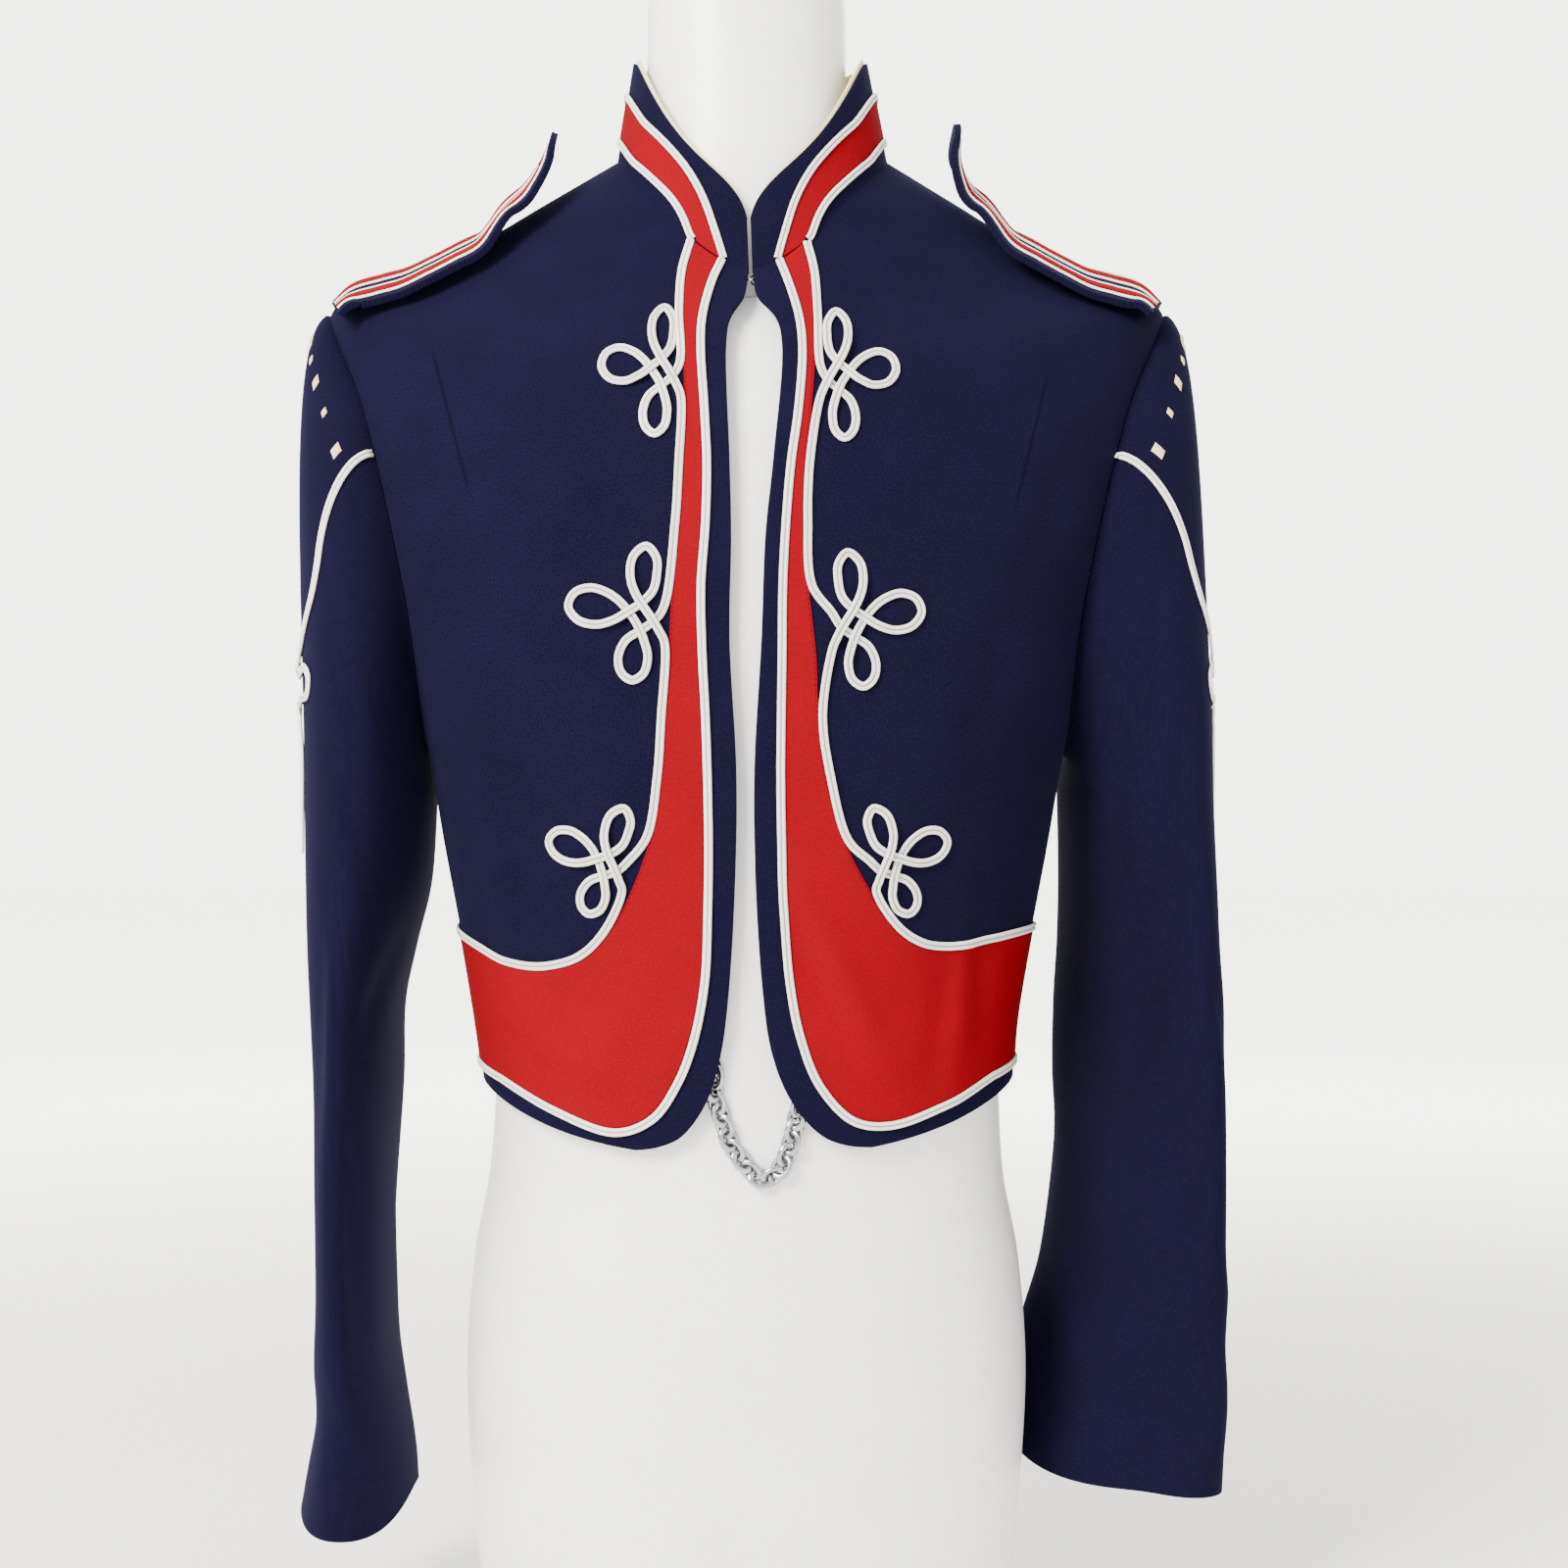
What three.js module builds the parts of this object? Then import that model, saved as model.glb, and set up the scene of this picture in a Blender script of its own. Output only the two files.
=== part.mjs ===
// A marching band jacket on a dress form without limbs. Millimetres, +Z up, the front faces -Y.
// The jacket is made of cloth walls on one torso surface: fronts, back, sleeves, stand collar
// and shoulder straps, with red cloth and white braid laid on them, and a chain at the opening.

import * as THREE from 'three';

// Driving sizes
const CLOTH = 2; // wall of the navy wool
const TRIM_CLOTH = 1; // red cloth laid on the wool
const TRIM_LIFT = 1; // clearance of red cloth over the wool
const BRAID_THICK = 1.2;
const BRAID_LIFT = 0.85; // clearance of braid over the wool
const BRAID_STEP = BRAID_THICK + 0.35; // one strand laid over another
const BRAID_LINE = 3.8; // width of a braid line
const SEAM = 0.3; // gap between sewn pieces
const SIDE_CLEAR = 0.75 * SEAM; // how far trims stop short of the side seam
const ROUND = 2.2; // exponent of the outline round the neck and of the form
const SIDE = Math.PI / 2; // angle of the side seam and shoulder seam
const DEGREE = Math.PI / 180;
const MOST_TURN = 6.5 * DEGREE; // longest step of a trim round the surface

// Rings of the torso, from the hem to the neck seam. Each row: half width, depth in front and
// behind, height at the front, side and back, exponent of the rise from middle to side, x of its
// middle, y of its side points and exponent of its outline.
const RING_COLUMNS = [
  'half', 'front', 'back', 'zFront', 'zSide', 'zBack', 'rise', 'middle', 'ridge', 'round',
];
const RINGS = [
  [138, 105, 98, 255, 285, 278, 2.6, 1, 0, 2.4],
  [141, 107, 100, 300, 314, 310, 2.6, 0, 0, 2.4],
  [148, 111, 104, 352, 356, 356, 2.3, 0, 0, 2.4],
  [157, 116, 110, 404, 404, 404, 2.3, 0, 0, 2.4],
  [165, 119, 114, 452, 450, 455, 2.3, 0, 0, 2.4],
  [178, 120, 118, 505, 510, 512, 2.3, 0, 0, 2.4],
  [195, 117, 119, 556, 572, 574, 2.3, 0, 4, 2.35],
  [210, 108, 114, 602, 634, 636, 2.3, 0, 9, 2.2],
  [220, 98, 104, 632, 684, 686, 2.2, 0, 14, 1.95],
  [185, 92, 96, 650, 700, 714, 2.1, 0, 16, 1.9],
  [147, 85, 86, 666, 719, 738, 2.0, 1, 15, 1.95],
  [108, 78, 74, 679, 741, 757, 1.8, 2, 11, 2.05],
  [71, 70, 60, 691, 761, 768, 1.6, 3, 5, 2.2],
].map((row) => Object.fromEntries(row.map((value, i) => [RING_COLUMNS[i], value])));
const UNDERARM = 4; // ring where the armhole starts
const TIP = 8; // ring of the shoulder tip
const NECK = RINGS.length - 1;
const ARMHOLE_FRONT = 27.5 * DEGREE; // how far the armhole cuts into the front
const ARMHOLE_BACK = 24 * DEGREE; // and into the back

// The front edges: x of the wearer's right and left edge at each height.
const EDGES = [
  { z: 255, right: -52, left: 62 },
  { z: 258, right: -41, left: 50 },
  { z: 264, right: -30, left: 38 },
  { z: 281, right: -18, left: 23.5 },
  { z: 304, right: -11, left: 14 },
  { z: 338, right: -6.7, left: 9 },
  { z: 405, right: -3.3, left: 5.5 },
  { z: 445, right: -3.3, left: 5.5 },
  { z: 505, right: -6.4, left: 8.8 },
  { z: 555, right: -5.7, left: 10.7 },
  { z: 592, right: -6.6, left: 14.4 },
  { z: 650, right: -8.7, left: 18.7 },
  { z: 664, right: -7, left: 16 },
  { z: 677, right: 0, left: 6.2 },
  { z: 692, right: 2.1, left: 3.9 },
];

// The red panel of each front, from the neck seam to the side seam: the middle of the inner
// braid and of the outer braid. The row at the side seam is worked out from SIDE_BAND.
const PANEL_RIGHT = [
  { inX: -12, inZ: 694, outX: -28, outZ: 702 },
  { inX: -16, inZ: 684, outX: -31, outZ: 690 },
  { inX: -20.5, inZ: 664, outX: -32, outZ: 668 },
  { inX: -21, inZ: 648, outX: -31, outZ: 644 },
  { inX: -19, inZ: 618, outX: -30.5, outZ: 616 },
  { inX: -17.5, inZ: 590, outX: -31, outZ: 588 },
  { inX: -18, inZ: 560, outX: -32.5, outZ: 560 },
  { inX: -20, inZ: 530, outX: -35.5, outZ: 528 },
  { inX: -19.5, inZ: 500, outX: -37, outZ: 500 },
  { inX: -18, inZ: 470, outX: -39, outZ: 466 },
  { inX: -17, inZ: 440, outX: -41, outZ: 438 },
  { inX: -16.5, inZ: 405, outX: -46, outZ: 410 },
  { inX: -17, inZ: 372, outX: -55.5, outZ: 384 },
  { inX: -18.5, inZ: 340, outX: -67, outZ: 364 },
  { inX: -24, inZ: 311, outX: -79, outZ: 352 },
  { inX: -32, inZ: 290, outX: -93, outZ: 347 },
  { inX: -44, inZ: 273, outX: -107, outZ: 346 },
  { inX: -62, inZ: 266, outX: -120, outZ: 349 },
  { inX: -92, inZ: 275, outX: -135, outZ: 355 },
  { inX: -121, inZ: 288, outX: -145, outZ: 359 },
];
const PANEL_LEFT = [
  { inX: 18, inZ: 694, outX: 32, outZ: 701 },
  { inX: 21.5, inZ: 684, outX: 34.5, outZ: 690 },
  { inX: 27, inZ: 664, outX: 36, outZ: 668 },
  { inX: 28.5, inZ: 646, outX: 36.5, outZ: 646 },
  { inX: 26.5, inZ: 616, outX: 34.5, outZ: 616 },
  { inX: 23, inZ: 590, outX: 32, outZ: 590 },
  { inX: 20.5, inZ: 560, outX: 31, outZ: 562 },
  { inX: 19, inZ: 530, outX: 33, outZ: 530 },
  { inX: 18.7, inZ: 500, outX: 36.5, outZ: 498 },
  { inX: 18.3, inZ: 470, outX: 38, outZ: 468 },
  { inX: 18, inZ: 440, outX: 42, outZ: 438 },
  { inX: 18.5, inZ: 405, outX: 50.5, outZ: 408 },
  { inX: 19.5, inZ: 375, outX: 63, outZ: 384 },
  { inX: 22, inZ: 342, outX: 75, outZ: 366 },
  { inX: 27.5, inZ: 313, outX: 87, outZ: 358 },
  { inX: 37, inZ: 289, outX: 99, outZ: 356 },
  { inX: 53, inZ: 272, outX: 112, outZ: 357 },
  { inX: 70, inZ: 269, outX: 124, outZ: 359 },
  { inX: 98, inZ: 277, outX: 137, outZ: 361 },
  { inX: 124, inZ: 289, outX: 146, outZ: 362 },
];
// Heights of the two braids where the red panel meets the side seam, as ring numbers.
const SIDE_BAND = { low: 0.36, high: 2.12 };
const BAND_CLEAR = { low: 0.08, high: 0.055 }; // half a braid and a seam, as ring numbers

// One three-loop braid knot: how far each point lies outward from the middle of the knot and
// above it, and how many strands it lies on.
const KNOT = [
  { out: -7.4, up: 5.5, over: 0 },
  { out: -3.6, up: -1.9, over: 0 },
  { out: 1.6, up: -6.6, over: 0 },
  { out: 7.6, up: -12, over: 0 },
  { out: 10.2, up: -20.5, over: 0 },
  { out: 8.6, up: -27.7, over: 0 },
  { out: 4.3, up: -31, over: 0 },
  { out: -0.2, up: -27.4, over: 0 },
  { out: -1.7, up: -19.5, over: 0.5 },
  { out: -0.2, up: -12, over: 1 },
  { out: 2.6, up: -4.6, over: 0.9 },
  { out: 6.2, up: 1.6, over: 0.1 },
  { out: 10.6, up: 7.4, over: 0 },
  { out: 16, up: 11.6, over: 0 },
  { out: 22.6, up: 13.6, over: 0 },
  { out: 28.8, up: 10.8, over: 0 },
  { out: 30.9, up: 4, over: 0 },
  { out: 26.8, up: -2.4, over: 0 },
  { out: 19.5, up: -4.4, over: 0.4 },
  { out: 12.6, up: -2.2, over: 1.1 },
  { out: 6.6, up: 2.3, over: 1.2 },
  { out: 0.8, up: 7.4, over: 1 },
  { out: -2.9, up: 13.2, over: 0.5 },
  { out: -4, up: 20.5, over: 0 },
  { out: -3.6, up: 29, over: 0 },
  { out: 0.6, up: 34.6, over: 0 },
  { out: 5.4, up: 30, over: 0 },
  { out: 6.6, up: 22.6, over: 0.5 },
  { out: 5.2, up: 14.6, over: 1.6 },
  { out: 1.9, up: 7.2, over: 2.2 },
  { out: -2.2, up: 0.4, over: 2.1 },
  { out: -5.8, up: -6.4, over: 1.4 },
  { out: -8.2, up: -12.6, over: 0.4 },
];
// The knots of each front: middle, size outward and upward, and turn in degrees.
const KNOTS_RIGHT = [
  { x: -38.5, z: 635, out: 1, up: 1, turn: 0 },
  { x: -46.6, z: 515, out: 1.2, up: 0.98, turn: 2 },
  { x: -63.5, z: 396, out: 1.05, up: 0.82, turn: 15 },
];
const KNOTS_LEFT = [
  { x: 44.5, z: 633, out: 0.96, up: 1, turn: 0 },
  { x: 51, z: 512, out: 1.12, up: 0.98, turn: 3 },
  { x: 69, z: 396, out: 1.02, up: 0.82, turn: 15 },
];

// The collar's top edge, over the same angles as the neck seam.
const COLLAR_TOP = {
  half: 61.5,
  front: 66,
  back: 52,
  zFront: 709,
  zSide: 813,
  zBack: 820,
  middle: 2,
  ridge: 3,
};
const COLLAR_VEE = { share: 0.53, sharp: 0.42, round: 3 }; // how steeply the top edge leaves the front
// The two braids of the collar, from the neck seam round to the side of the neck.
const COLLAR_BRAIDS = [
  { upX: -10.5, upZ: 697.5, lowX: -26, lowZ: 705 },
  { upX: -15, upZ: 712, lowX: -28, lowZ: 712 },
  { upX: -20.5, upZ: 728, lowX: -31.5, lowZ: 721 },
  { upX: -28, upZ: 742.5, lowX: -37, lowZ: 730 },
  { upX: -37, upZ: 755, lowX: -45.5, lowZ: 740 },
  { upX: -51, upZ: 772, lowX: -57, lowZ: 753 },
];
const COLLAR_RISE = { low: 0.25, high: 0.66 }; // height of the two braids beside and behind the neck
const COLLAR_BEHIND = [-1.75, -2.2, -2.65]; // angles of the places behind the neck
const COLLAR_BRAID = 3;
const LINING = 1.2;
const LINING_SHOWS = 2.2; // how far the lining stands above the collar's edge

// The shoulder straps: a flat padded strip with a round free end that curls up.
const STRAP = {
  half: 26,
  thick: 4,
  clear: 0.9, // between the strap and its trims
  lift: 1.7, // between the strap and the shoulder
  rest: 135, // x where it leaves the shoulder
  start: 216, // x of its sewn end
  trims: 2, // how far the trims stop short of the sewn end
  depth: -15,
  tilt: 27 * DEGREE,
};
const STRAP_FREE_RIGHT = [
  { x: 123, z: 731 },
  { x: 111.5, z: 742 },
  { x: 102, z: 757 },
  { x: 97, z: 772 },
];
const STRAP_FREE_LEFT = [
  { x: 123, z: 732 },
  { x: 112.5, z: 743 },
  { x: 106.5, z: 759 },
  { x: 106.5, z: 777 },
];
// Trims on a strap, from the outside in: the middle of each and its width.
const STRAP_TRIMS = [
  { name: 'braid_outer', at: 18.6, width: 3.2, thick: BRAID_THICK, color: 'braid' },
  { name: 'red', at: 12.1, width: 7.4, thick: TRIM_CLOTH, color: 'red' },
  { name: 'braid_inner', at: 5.9, width: 2.5, thick: BRAID_THICK, color: 'braid' },
];

// The sleeves, from the underarm to the cuff: height, middle, half width along the section and
// across it, and the turn of the section in degrees.
const SLEEVE_RIGHT = [
  { z: 430, mid: 196.5, y: 2, long: 86, short: 31.3, turn: 0 },
  { z: 384, mid: 197.7, y: 2, long: 84, short: 29.5, turn: 0 },
  { z: 350, mid: 201.1, y: 1, long: 80, short: 25, turn: 0 },
  { z: 318, mid: 203.5, y: 0, long: 76, short: 21, turn: 0 },
  { z: 280, mid: 202.8, y: -2, long: 73, short: 20, turn: 0 },
  { z: 236, mid: 203.3, y: -4, long: 71, short: 18.6, turn: 0 },
  { z: 180, mid: 202.8, y: -6, long: 70, short: 17.6, turn: 0 },
  { z: 143, mid: 202.1, y: -7, long: 69, short: 17.6, turn: 0 },
  { z: 114, mid: 200, y: -8, long: 67, short: 20, turn: 0 },
  { z: 85, mid: 200.2, y: -8, long: 64, short: 25.6, turn: 0 },
  { z: 57, mid: 201.3, y: -8, long: 60, short: 28.6, turn: 0 },
];
const SLEEVE_LEFT = [
  { z: 430, mid: 202.5, y: 2, long: 86, short: 29.5, turn: 11 },
  { z: 384, mid: 203.7, y: 2, long: 83, short: 26, turn: 15 },
  { z: 350, mid: 203.9, y: 2, long: 79, short: 24, turn: 19 },
  { z: 318, mid: 203.7, y: 2, long: 76, short: 22.5, turn: 24 },
  { z: 280, mid: 203.1, y: 2, long: 74, short: 21, turn: 27 },
  { z: 236, mid: 203.8, y: 2, long: 72, short: 20, turn: 28 },
  { z: 180, mid: 201, y: 2, long: 71, short: 20, turn: 32 },
  { z: 143, mid: 196.4, y: 2, long: 69, short: 21.5, turn: 41 },
  { z: 114, mid: 194.4, y: 2, long: 67, short: 23, turn: 46 },
  { z: 92, mid: 192.6, y: 2, long: 65, short: 24.5, turn: 49 },
  { z: 72, mid: 192.6, y: 2, long: 62, short: 26.5, turn: 52 },
];
const SLEEVE_ROUND = 2.2;
// Where the hem of a sleeve is raised: the angle round it, half the width in degrees, the height.
const HEM_LIFTS = [
  { side: -1, angle: 0, width: 42, height: 9 },
  { side: -1, angle: 180, width: 42, height: 13 },
  { side: 1, angle: 252, width: 38, height: 14 },
];
// How the sleeve leaves the armhole: its clearance, how far it stands out below and above, and
// the shares of the drop and of the way forward that it starts with.
const SLEEVE_SET = {
  inside: 0.006,
  above: 0.4,
  outward: 1.2,
  low: 4,
  high: 70,
  drop: 0.12,
  forward: 1.3,
};
const SLEEVE_GIRTH_ROW = 0.75; // row where distances round the sleeve are measured
// Soft troughs of the sleeves: angle round the sleeve at the height z, lean in degrees for each
// 100 mm of height, half length, half width in degrees and depth.
const SLEEVE_FOLDS = [
  { side: -1, angle: 62, z: 318, lean: 14, reach: 62, width: 17, depth: 3.5 },
  { side: -1, angle: 118, z: 215, lean: -10, reach: 70, width: 16, depth: 3 },
  { side: -1, angle: 248, z: 290, lean: 12, reach: 80, width: 18, depth: 4 },
  { side: 1, angle: 118, z: 400, lean: -26, reach: 85, width: 20, depth: 7 },
  { side: 1, angle: 132, z: 250, lean: 20, reach: 80, width: 17, depth: 5 },
  { side: 1, angle: 150, z: 100, lean: -18, reach: 60, width: 20, depth: 7 },
  { side: 1, angle: 250, z: 300, lean: 12, reach: 90, width: 18, depth: 4 },
];
// The braid on the outside of a sleeve, from the armhole in front to the armhole behind: distance
// forward of the outer line, height and strands that it lies on.
const SLEEVE_BRAID = [
  { along: 93, z: 603, over: 0 },
  { along: 90, z: 596, over: 0 },
  { along: 86, z: 585, over: 0 },
  { along: 82, z: 572, over: 0 },
  { along: 79, z: 558, over: 0 },
  { along: 77, z: 543, over: 0 },
  { along: 73, z: 530, over: 0 },
  { along: 66, z: 519, over: 0 },
  { along: 56, z: 508, over: 0 },
  { along: 47, z: 500, over: 0.4 },
  { along: 40, z: 495, over: 1.1 },
  { along: 31, z: 491, over: 0.5 },
  { along: 20, z: 494, over: 0 },
  { along: 10, z: 489, over: 0 },
  { along: 12, z: 480, over: 0 },
  { along: 27, z: 478, over: 0.4 },
  { along: 40, z: 474, over: 1.1 },
  { along: 46, z: 466, over: 0.4 },
  { along: 49.5, z: 450, over: 0 },
  { along: 48, z: 430, over: 0 },
  { along: 44.4, z: 413, over: 0 },
  { along: 40, z: 402, over: 0 },
  { along: 35.6, z: 413, over: 0 },
  { along: 32, z: 430, over: 0 },
  { along: 30.5, z: 450, over: 0 },
  { along: 34, z: 466, over: 0.4 },
  { along: 40, z: 474, over: 0 },
  { along: 53, z: 478, over: 0.4 },
  { along: 68, z: 480, over: 0 },
  { along: 70, z: 489, over: 0 },
  { along: 60, z: 494, over: 0 },
  { along: 49, z: 491, over: 0.5 },
  { along: 40, z: 495, over: 0 },
  { along: 31, z: 500, over: 0.4 },
  { along: 16, z: 507, over: 0 },
  { along: -6, z: 517, over: 0 },
  { along: -30, z: 531, over: 0 },
  { along: -52, z: 549, over: 0 },
  { along: -70, z: 570, over: 0 },
  { along: -83, z: 588, over: 0 },
  { along: -93, z: 603, over: 0 },
];

// The dress form: clearance inside the jacket, then rows of the hips below and the neck above.
const FORM_INSET = { half: 8, front: 8.5, back: 7, top: 8, tip: 10 };
const FORM_HIPS = [
  { z: 0, half: 136, front: 94, back: 104 },
  { z: 60, half: 142, front: 97, back: 110 },
  { z: 130, half: 146, front: 97, back: 112 },
  { z: 190, half: 142, front: 96.5, back: 105 },
  { z: 235, half: 134, front: 96, back: 95 },
];
const FORM_NECK = [
  { z: 788, half: 53, front: 50, back: 46 },
  { z: 820, half: 52, front: 46, back: 46 },
  { z: 846, half: 51, front: 45, back: 46 },
  { z: 860, half: 46, front: 40, back: 41 },
  { z: 867, half: 34, front: 29, back: 30 },
];
const FORM_TOP = 869;

// The chain between the fronts: its middle line, its section and the length of a link.
const CHAIN = { y: -100.4, wide: 4.6, thick: 2, pitch: 5.7, waist: 0.7 };
const CHAIN_LINE = [
  { x: -22, z: 309 },
  { x: -14.5, z: 299 },
  { x: -14, z: 285 },
  { x: -10.3, z: 272.7 },
  { x: -6.5, z: 261 },
  { x: 1.1, z: 250 },
  { x: 8.7, z: 243.5 },
  { x: 15.8, z: 246 },
  { x: 21, z: 255 },
  { x: 24.5, z: 267 },
  { x: 27.5, z: 279 },
  { x: 35, z: 289 },
];

// The hook and eye behind the front edges, just under the neck seam.
const EYE = { x: 6, y: -68.7, z: 686, ring: 2.9, wire: 0.5, sides: 5, steps: 12 };
const HOOK_LINE = [
  { x: -5, y: -69.3 },
  { x: -0.5, y: -69.6 },
  { x: 1.8, y: -70.3 },
  { x: 3.1, y: -70.5 },
  { x: 4.6, y: -69.9 },
  { x: 6.2, y: -68.8 },
];

const COLORS = {
  navy: new THREE.MeshStandardMaterial({ color: 0x1f1d3d, roughness: 0.92, metalness: 0 }),
  red: new THREE.MeshStandardMaterial({ color: 0xd81f2a, roughness: 0.85, metalness: 0 }),
  braid: new THREE.MeshStandardMaterial({ color: 0xebe4d8, roughness: 0.7, metalness: 0 }),
  lining: new THREE.MeshStandardMaterial({ color: 0xe1d9ae, roughness: 0.8, metalness: 0 }),
  form: new THREE.MeshStandardMaterial({ color: 0xf1f0ee, roughness: 0.6, metalness: 0 }),
  silver: new THREE.MeshStandardMaterial({ color: 0xc9ccd2, roughness: 0.25, metalness: 1 }),
};

const model = new THREE.Group();

function add(name, geometry, color) {
  const mesh = new THREE.Mesh(geometry, COLORS[color]);
  mesh.name = name;
  model.add(mesh);
}

// Tables

function catmull(a, b, c, d, t) {
  const turn = (c - a) * t + (2 * a - 5 * b + 4 * c - d) * t * t + (3 * b - a - 3 * c + d) * t ** 3;
  return b + turn / 2;
}

// Reads a table at a broken row number, all columns smoothly.
function tableAt(table, place) {
  const last = table.length - 1;
  const at = Math.min(Math.max(place, 0), last);
  const row = Math.min(Math.floor(at), last - 1);
  const near = (i) => table[Math.min(Math.max(i, 0), last)];
  const [a, b, c, d] = [row - 1, row, row + 1, row + 2].map(near);
  const result = {};
  for (const key of Object.keys(b)) result[key] = catmull(a[key], b[key], c[key], d[key], at - row);
  return result;
}

// Reads one column of a table by another column that rises steadily.
function lookUp(table, key, value, column) {
  const last = table.length - 1;
  let row = 0;
  while (row < last - 1 && table[row + 1][key] < value) row += 1;
  const [low, high] = [table[row], table[row + 1]];
  const share = THREE.MathUtils.clamp((value - low[key]) / (high[key] - low[key]), 0, 1);
  return THREE.MathUtils.lerp(low[column], high[column], share);
}

// Finds where a rising function reaches a value.
function solve(low, high, value, rising) {
  let [a, b] = [low, high];
  for (let step = 0; step < 40; step += 1) {
    const middle = (a + b) / 2;
    if (rising(middle) < value) a = middle;
    else b = middle;
  }
  return (a + b) / 2;
}

// A smooth line through points with any columns, cut into steps of about the given length.
function smoothLine(points, keys, stepLength) {
  const { lerp } = THREE.MathUtils;
  const vectors = points.map((point) => new THREE.Vector3(point[keys[0]], point[keys[1]], 0));
  const curve = new THREE.CatmullRomCurve3(vectors, false, 'centripetal');
  const line = [];
  for (let i = 0; i < points.length - 1; i += 1) {
    const length = vectors[i].distanceTo(vectors[i + 1]);
    const steps = Math.max(1, Math.round(length / stepLength));
    for (let k = 0; k < steps; k += 1) {
      const share = k / steps;
      const place = curve.getPoint((i + share) / (points.length - 1));
      const over = lerp(points[i].over ?? 0, points[i + 1].over ?? 0, share);
      line.push({ a: place.x, b: place.y, over });
    }
  }
  const end = points.at(-1);
  line.push({ a: end[keys[0]], b: end[keys[1]], over: end.over ?? 0 });
  return line;
}

// Surfaces: each has point(a, b) and knows which way is out.

function normalOf(point, a, b, out = 1) {
  const small = 0.0015;
  const alongA = point(a + small, b).sub(point(a - small, b));
  const alongB = point(a, b + small).sub(point(a, b - small));
  return alongA.cross(alongB).multiplyScalar(out).normalize();
}

function place(surface, a, b) {
  return { point: surface.point(a, b), normal: normalOf(surface.point, a, b, surface.out) };
}

function ringPoint(ring, angle, rise) {
  const sine = Math.sin(angle);
  const cosine = Math.cos(angle);
  const round = ring.round ?? ROUND;
  const reach = (Math.abs(sine) ** round + Math.abs(cosine) ** round) ** (-1 / round);
  const across = reach * sine;
  const inFront = cosine > 0;
  const depth = inFront ? ring.front : ring.back;
  const zMiddle = inFront ? ring.zFront : ring.zBack;
  return new THREE.Vector3(
    ring.middle + ring.half * across,
    -depth * reach * cosine + ring.ridge * across * across,
    zMiddle + (ring.zSide - zMiddle) * rise(Math.abs(across)),
  );
}

const torso = {
  out: 1,
  point: (angle, row) => {
    const ring = tableAt(RINGS, row);
    return ringPoint(ring, angle, (across) => across ** ring.rise);
  },
};

function angleAt(x, ring) {
  const across = THREE.MathUtils.clamp((x - ring.middle) / ring.half, -0.9995, 0.9995);
  const round = ring.round ?? ROUND;
  return Math.atan2(across, (1 - Math.abs(across) ** round) ** (1 / round));
}

// The angle and ring number of the point on the front at x and z.
function onFront(x, z) {
  const heightAt = (row) => torso.point(angleAt(x, tableAt(RINGS, row)), row).z;
  const row = solve(0, NECK, z, heightAt);
  return { a: angleAt(x, tableAt(RINGS, row)), b: row };
}

// Solids

function closedMesh(positions, faces) {
  let volume = 0;
  for (const [i, j, k] of faces) {
    const [a, b, c] = [i, j, k].map((n) => new THREE.Vector3(...positions[n]));
    volume += a.dot(b.cross(c));
  }
  const order = volume < 0 ? faces.map(([i, j, k]) => [i, k, j]) : faces;
  const geometry = new THREE.BufferGeometry();
  geometry.setAttribute('position', new THREE.Float32BufferAttribute(positions.flat(), 3));
  geometry.setIndex(order.flat());
  return geometry;
}

// A wall between two offsets of a grid of places. A wrapped grid closes on itself.
function wall(grid, inner, outer, wrapped = false) {
  const rows = grid.length;
  const columns = grid[0].length;
  const positions = [];
  for (const lift of [inner, outer]) {
    for (const row of grid) {
      for (const { point, normal } of row) {
        positions.push(point.clone().addScaledVector(normal, lift).toArray());
      }
    }
  }
  const inside = (j, i) => j * columns + (i % columns);
  const outside = (j, i) => rows * columns + inside(j, i);
  const faces = [];
  const quad = (a, b, c, d) => faces.push([a, b, c], [a, c, d]);
  const spans = wrapped ? columns : columns - 1;
  for (let j = 0; j < rows - 1; j += 1) {
    for (let i = 0; i < spans; i += 1) {
      quad(outside(j, i), outside(j, i + 1), outside(j + 1, i + 1), outside(j + 1, i));
      quad(inside(j, i), inside(j + 1, i), inside(j + 1, i + 1), inside(j, i + 1));
    }
  }
  for (let i = 0; i < spans; i += 1) {
    const top = rows - 1;
    quad(outside(0, i), inside(0, i), inside(0, i + 1), outside(0, i + 1));
    quad(outside(top, i), outside(top, i + 1), inside(top, i + 1), inside(top, i));
  }
  if (!wrapped) {
    const end = columns - 1;
    for (let j = 0; j < rows - 1; j += 1) {
      quad(outside(j, 0), outside(j + 1, 0), inside(j + 1, 0), inside(j, 0));
      quad(outside(j, end), inside(j, end), inside(j + 1, end), outside(j + 1, end));
    }
  }
  return closedMesh(positions, faces);
}

// A solid through closed rings of points, with a fan over each end.
function rings(sections) {
  const count = sections[0].length;
  const positions = sections.flat().map((point) => point.toArray());
  const faces = [];
  for (let j = 0; j < sections.length - 1; j += 1) {
    for (let i = 0; i < count; i += 1) {
      const next = (i + 1) % count;
      const [a, b] = [j * count + i, j * count + next];
      faces.push([a, b, b + count], [a, b + count, a + count]);
    }
  }
  for (const [j, turned] of [[0, true], [sections.length - 1, false]]) {
    const sum = sections[j].reduce((total, point) => total.add(point), new THREE.Vector3());
    const middle = sum.divideScalar(count);
    const hub = positions.push(middle.toArray()) - 1;
    for (let i = 0; i < count; i += 1) {
      const [a, b] = [j * count + i, j * count + (i + 1) % count];
      faces.push(turned ? [hub, b, a] : [hub, a, b]);
    }
  }
  return closedMesh(positions, faces);
}

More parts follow.
